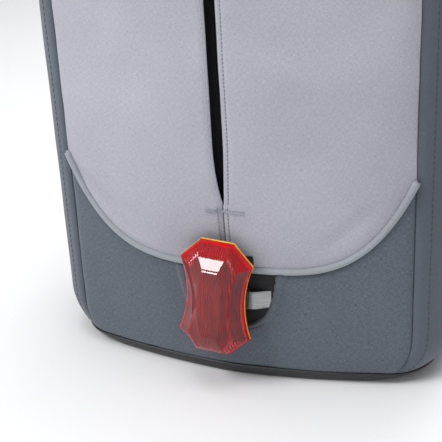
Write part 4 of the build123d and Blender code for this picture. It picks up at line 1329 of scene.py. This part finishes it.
def inner_pieces():
    """Underlap, pouch, sleeve and base pad seen when the pack is open."""
    z = np.linspace(SLIT_LOW + 2 * MM, SLIT_HIGH - 6 * MM, 80)
    x = np.linspace(-8.4 * MM, 14 * MM, 12)
    xx, zz = np.meshgrid(x, z)
    yy = front_depth(xx, zz) + 6.8 * MM + 0.5 * MM * np.sin(zz * 90)
    sheet_from_grid("pocket_underlap", np.stack([xx, yy, zz], -1), forward, 0.6 * MM, "lining",
                    "flap", uv=np.stack([xx, zz], -1))
    for label, side in (("left", -1), ("right", 1)):
        lo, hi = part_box("pocket_zip_tape_" + label)
        x = np.linspace(side * 3.2 * MM, side * 17.5 * MM, 14)
        z = np.linspace(lo[2] + 1 * MM, hi[2] - 1 * MM, 120)
        xx, zz = np.meshgrid(x, z)
        yy = front_depth(xx, zz) + 3.1 * MM
        tape = sheet_from_grid("pocket_tape_" + label, np.stack([xx, yy, zz], -1), forward,
                               0.7 * MM, "zip_tape", "flap", uv=np.stack([xx, zz], -1))
        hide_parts("pocket_zip_tape_" + label)

    lo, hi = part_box("pocket_liner")
    outline, rows = 120, []
    angle = np.linspace(0, 2 * math.pi, outline)
    wide = squared_wave(np.cos(angle), 0.28)
    tall = squared_wave(np.sin(angle), 0.28)
    middle = (np.array(lo) + np.array(hi)) / 2
    half = (np.array(hi) - np.array(lo)) / 2
    for share_y, share in ((0.16, 1.0), (0.4, 0.99), (0.7, 0.97), (0.9, 0.92), (0.99, 0.8),
                           (1.0, 0.5), (1.0, 0.2), (1.0, 0.02)):
        x = middle[0] + half[0] * 0.98 * wide * share
        z = middle[2] + half[2] * 0.98 * tall * share
        y = np.full(outline, lo[1] + (hi[1] - lo[1]) * share_y)
        y = np.maximum(y, front_depth(x, z) + 4.5 * MM)
        rows.append(np.stack([x, np.minimum(y, hi[1] - 0.8 * MM), z], axis=-1))
    points = np.array(rows)
    points[..., 1] -= 1.2 * MM * (soft_noise(points, 16.0) * 0.5 + 0.5)
    pouch = sheet_from_grid("pocket_pouch", points, lambda p: np.array([0, 1, 0]), 0.7 * MM,
                            "lining", "flap", material="pouch_lining")
    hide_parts("pocket_liner")

    lo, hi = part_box("laptop_sleeve")
    t = np.linspace(-1, 1, 70)
    z = np.linspace(lo[2] + 1 * MM, hi[2] - 1 * MM, 90)
    tt, zz = np.meshgrid(t, z)
    reach = np.minimum(hi[0], half_width_at(zz) - 5 * MM)
    xx = reach * tt
    yy = hi[1] - 1 * MM - (hi[1] - lo[1] - 2 * MM) * (1 - np.abs(tt) ** 14)
    grid3 = np.stack([xx, yy, zz], -1)
    yy = yy + 0.8 * MM * soft_noise(grid3, 14.0, 4.0) * (1 - np.abs(tt) ** 6)
    sleeve = sheet_from_grid("sleeve_front", np.stack([xx, yy, zz], -1), forward, 0.8 * MM,
                             "lining", "pack", material="pouch_lining",
                             uv=np.stack([xx, zz], -1))
    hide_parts("laptop_sleeve")

    lo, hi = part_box("base_foam")
    levels = ((lo[2] + 0.6 * MM, 16.0), (lo[2] + 2.2 * MM, 8.0), (lo[2] + 4 * MM, 6.6),
              (hi[2] - 1.4 * MM, 7.4), (hi[2] - 0.6 * MM, 11.0), (hi[2] - 0.3 * MM, 26.0))
    rings = []
    for level, inset in levels:
        pts, out = plan_loop(BASE, 200)
        pts = pts - out * inset * MM
        rings.append(np.column_stack([pts, np.full(len(pts), level)]))
    rings = np.array(rings)
    faces = capped_tube(len(rings), rings.shape[1])
    verts = rings.reshape(-1, 3)
    pad = add_object("base_pad", verts, faces, "lining", "pack", verts[:, :2], "pouch_lining")
    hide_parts("base_foam")


def light_loop():
    """Brushed reflective strip bridging the window, its ends sewn into the window's edge."""
    rows, columns = 12, 61
    z = np.linspace(loop_lo[2] + 0.3 * MM, loop_hi[2] - 0.3 * MM, rows)
    t = np.linspace(-1, 1, columns)
    reach = window_half_width(z) - 0.2 * MM
    reach = np.minimum(reach, loop_hi[0])
    xx = reach[:, None] * t[None, :]
    zz = np.broadcast_to(z[:, None], xx.shape)
    flat_half = 17 * MM
    slope = np.clip((np.abs(xx) - flat_half) / (reach[:, None] - flat_half), 0, 1)
    seat = front_depth(xx, zz) - 1.2 * MM
    front = loop_lo[1] + 0.05 * MM
    ease = slope * slope * (3 - 2 * slope)
    yy = front * (1 - ease) + (seat + 0.1 * MM) * ease
    strip = sheet_from_grid("loop_strip", np.stack([xx, yy, zz], -1), forward, 0.8 * MM,
                            "reflective_tape", "flap", uv=np.stack([xx, zz], -1))
    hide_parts("reflective_loop")


# ---- Floor, lights and camera ---------------------------------------------------------
def stage():
    """Pale floor, soft lamps and the camera."""
    size = 4.0
    mesh = bpy.data.meshes.new("floor")
    mesh.from_pydata([(-size, -size, 0), (size, -size, 0), (size, size, 0), (-size, size, 0)], [],
                     [(0, 1, 2, 3)])
    floor = bpy.data.objects.new("floor", mesh)
    bpy.context.collection.objects.link(floor)
    mat, tree, shader = new_material("floor")
    shader.inputs["Base Color"].default_value = (0.90, 0.90, 0.91, 1)
    shader.inputs["Roughness"].default_value = 0.6
    floor.data.materials.append(mat)

    world = bpy.data.worlds.new("studio")
    bpy.context.scene.world = world
    world.use_nodes = True
    tree = world.node_tree
    background = tree.nodes["Background"]
    background.inputs["Color"].default_value = (0.95, 0.97, 1.0, 1)
    background.inputs["Strength"].default_value = 0.40

    for name, place, aim, width, power in (
            ("key", (-0.95, -1.0, 1.5), (0, 0, 0.15), 0.7, 19.0),
            ("fill", (1.5, -1.1, 0.9), (0, 0, 0.15), 1.2, 1.5),
            ("top", (0.1, -0.1, 2.2), (0, 0, 0.0), 1.6, 22.0),
            ("back", (0.2, 1.2, 1.4), (0, 0, 0.2), 1.0, 8.0)):
        lamp = bpy.data.lights.new(name, "AREA")
        lamp.size = width
        lamp.energy = power
        obj = bpy.data.objects.new(name, lamp)
        obj.location = place
        direction = Vector(aim) - Vector(place)
        obj.rotation_euler = direction.to_track_quat("-Z", "Y").to_euler()
        bpy.context.collection.objects.link(obj)

    card = bpy.data.lights.new("window", "AREA")
    card.shape = "RECTANGLE"
    card.size, card.size_y = 0.34, 0.22
    card.energy = 4.6
    obj = bpy.data.objects.new("window", card)
    obj.location = (-0.37, -1.05, 0.37)
    direction = Vector((0, -0.11, 0.09)) - obj.location
    obj.rotation_euler = direction.to_track_quat("-Z", "Y").to_euler()
    obj.visible_diffuse = False
    bpy.context.collection.objects.link(obj)

    azimuth, elevation, roll = (math.radians(a) for a in (21.22, 24.19, -3.03))
    target = np.array([-4.4, FRONT / MM, 121.0]) * MM
    distance = 717.7 * MM
    ahead = np.array([-math.sin(azimuth) * math.cos(elevation),
                      math.cos(azimuth) * math.cos(elevation), -math.sin(elevation)])
    right = np.array([math.cos(azimuth), math.sin(azimuth), 0])
    up = np.cross(right, ahead)
    right2 = right * math.cos(roll) + up * math.sin(roll)
    up2 = -right * math.sin(roll) + up * math.cos(roll)
    camera = bpy.data.cameras.new("camera")
    camera.sensor_width = 36
    camera.lens = 85.96
    obj = bpy.data.objects.new("camera", camera)
    place = target - ahead * distance
    obj.matrix_world = Matrix(((right2[0], up2[0], -ahead[0], place[0]),
                               (right2[1], up2[1], -ahead[1], place[1]),
                               (right2[2], up2[2], -ahead[2], place[2]),
                               (0, 0, 0, 1)))
    bpy.context.collection.objects.link(obj)
    bpy.context.scene.camera = obj
    bpy.context.scene.view_settings.view_transform = "Standard"


def carried_over():
    """Better materials for the CAD pieces that stay as they are."""
    slots = {item["node"]: item["material_slot"] for item in frame["record"]["subparts"]}
    for name, obj in frame["nodes"].items():
        if obj.type == "MESH" and name in slots:
            obj.data.materials.clear()
            slot = "thread_light" if slots[name] == "thread_grey" else slots[name]
            obj.data.materials.append(MATS[slot])


carried_over()
lower_panel()
window()
left_points = upper_panel(-1)
right_points = upper_panel(1)
bar_tack(left_points, right_points)
piping()
side_parts()
base()
back()
for label in ("left", "right"):
    lo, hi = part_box("back_pad_" + label)
    levels = np.linspace(lo[2], hi[2], 5)[1:-1]
    cushion("pad_" + label, "back_pad_" + label, "padding_mesh", "pack", channels=levels)
cushion("pad_lumbar", "lumbar_pad", "padding_mesh", "pack")
cushion("yoke_patch", "strap_yoke", "dark_fabric", "pack")
lens()
case_shell()
shoulder_straps()
chest_strap()
haul_handle()
inner_pieces()
light_loop()
stage()
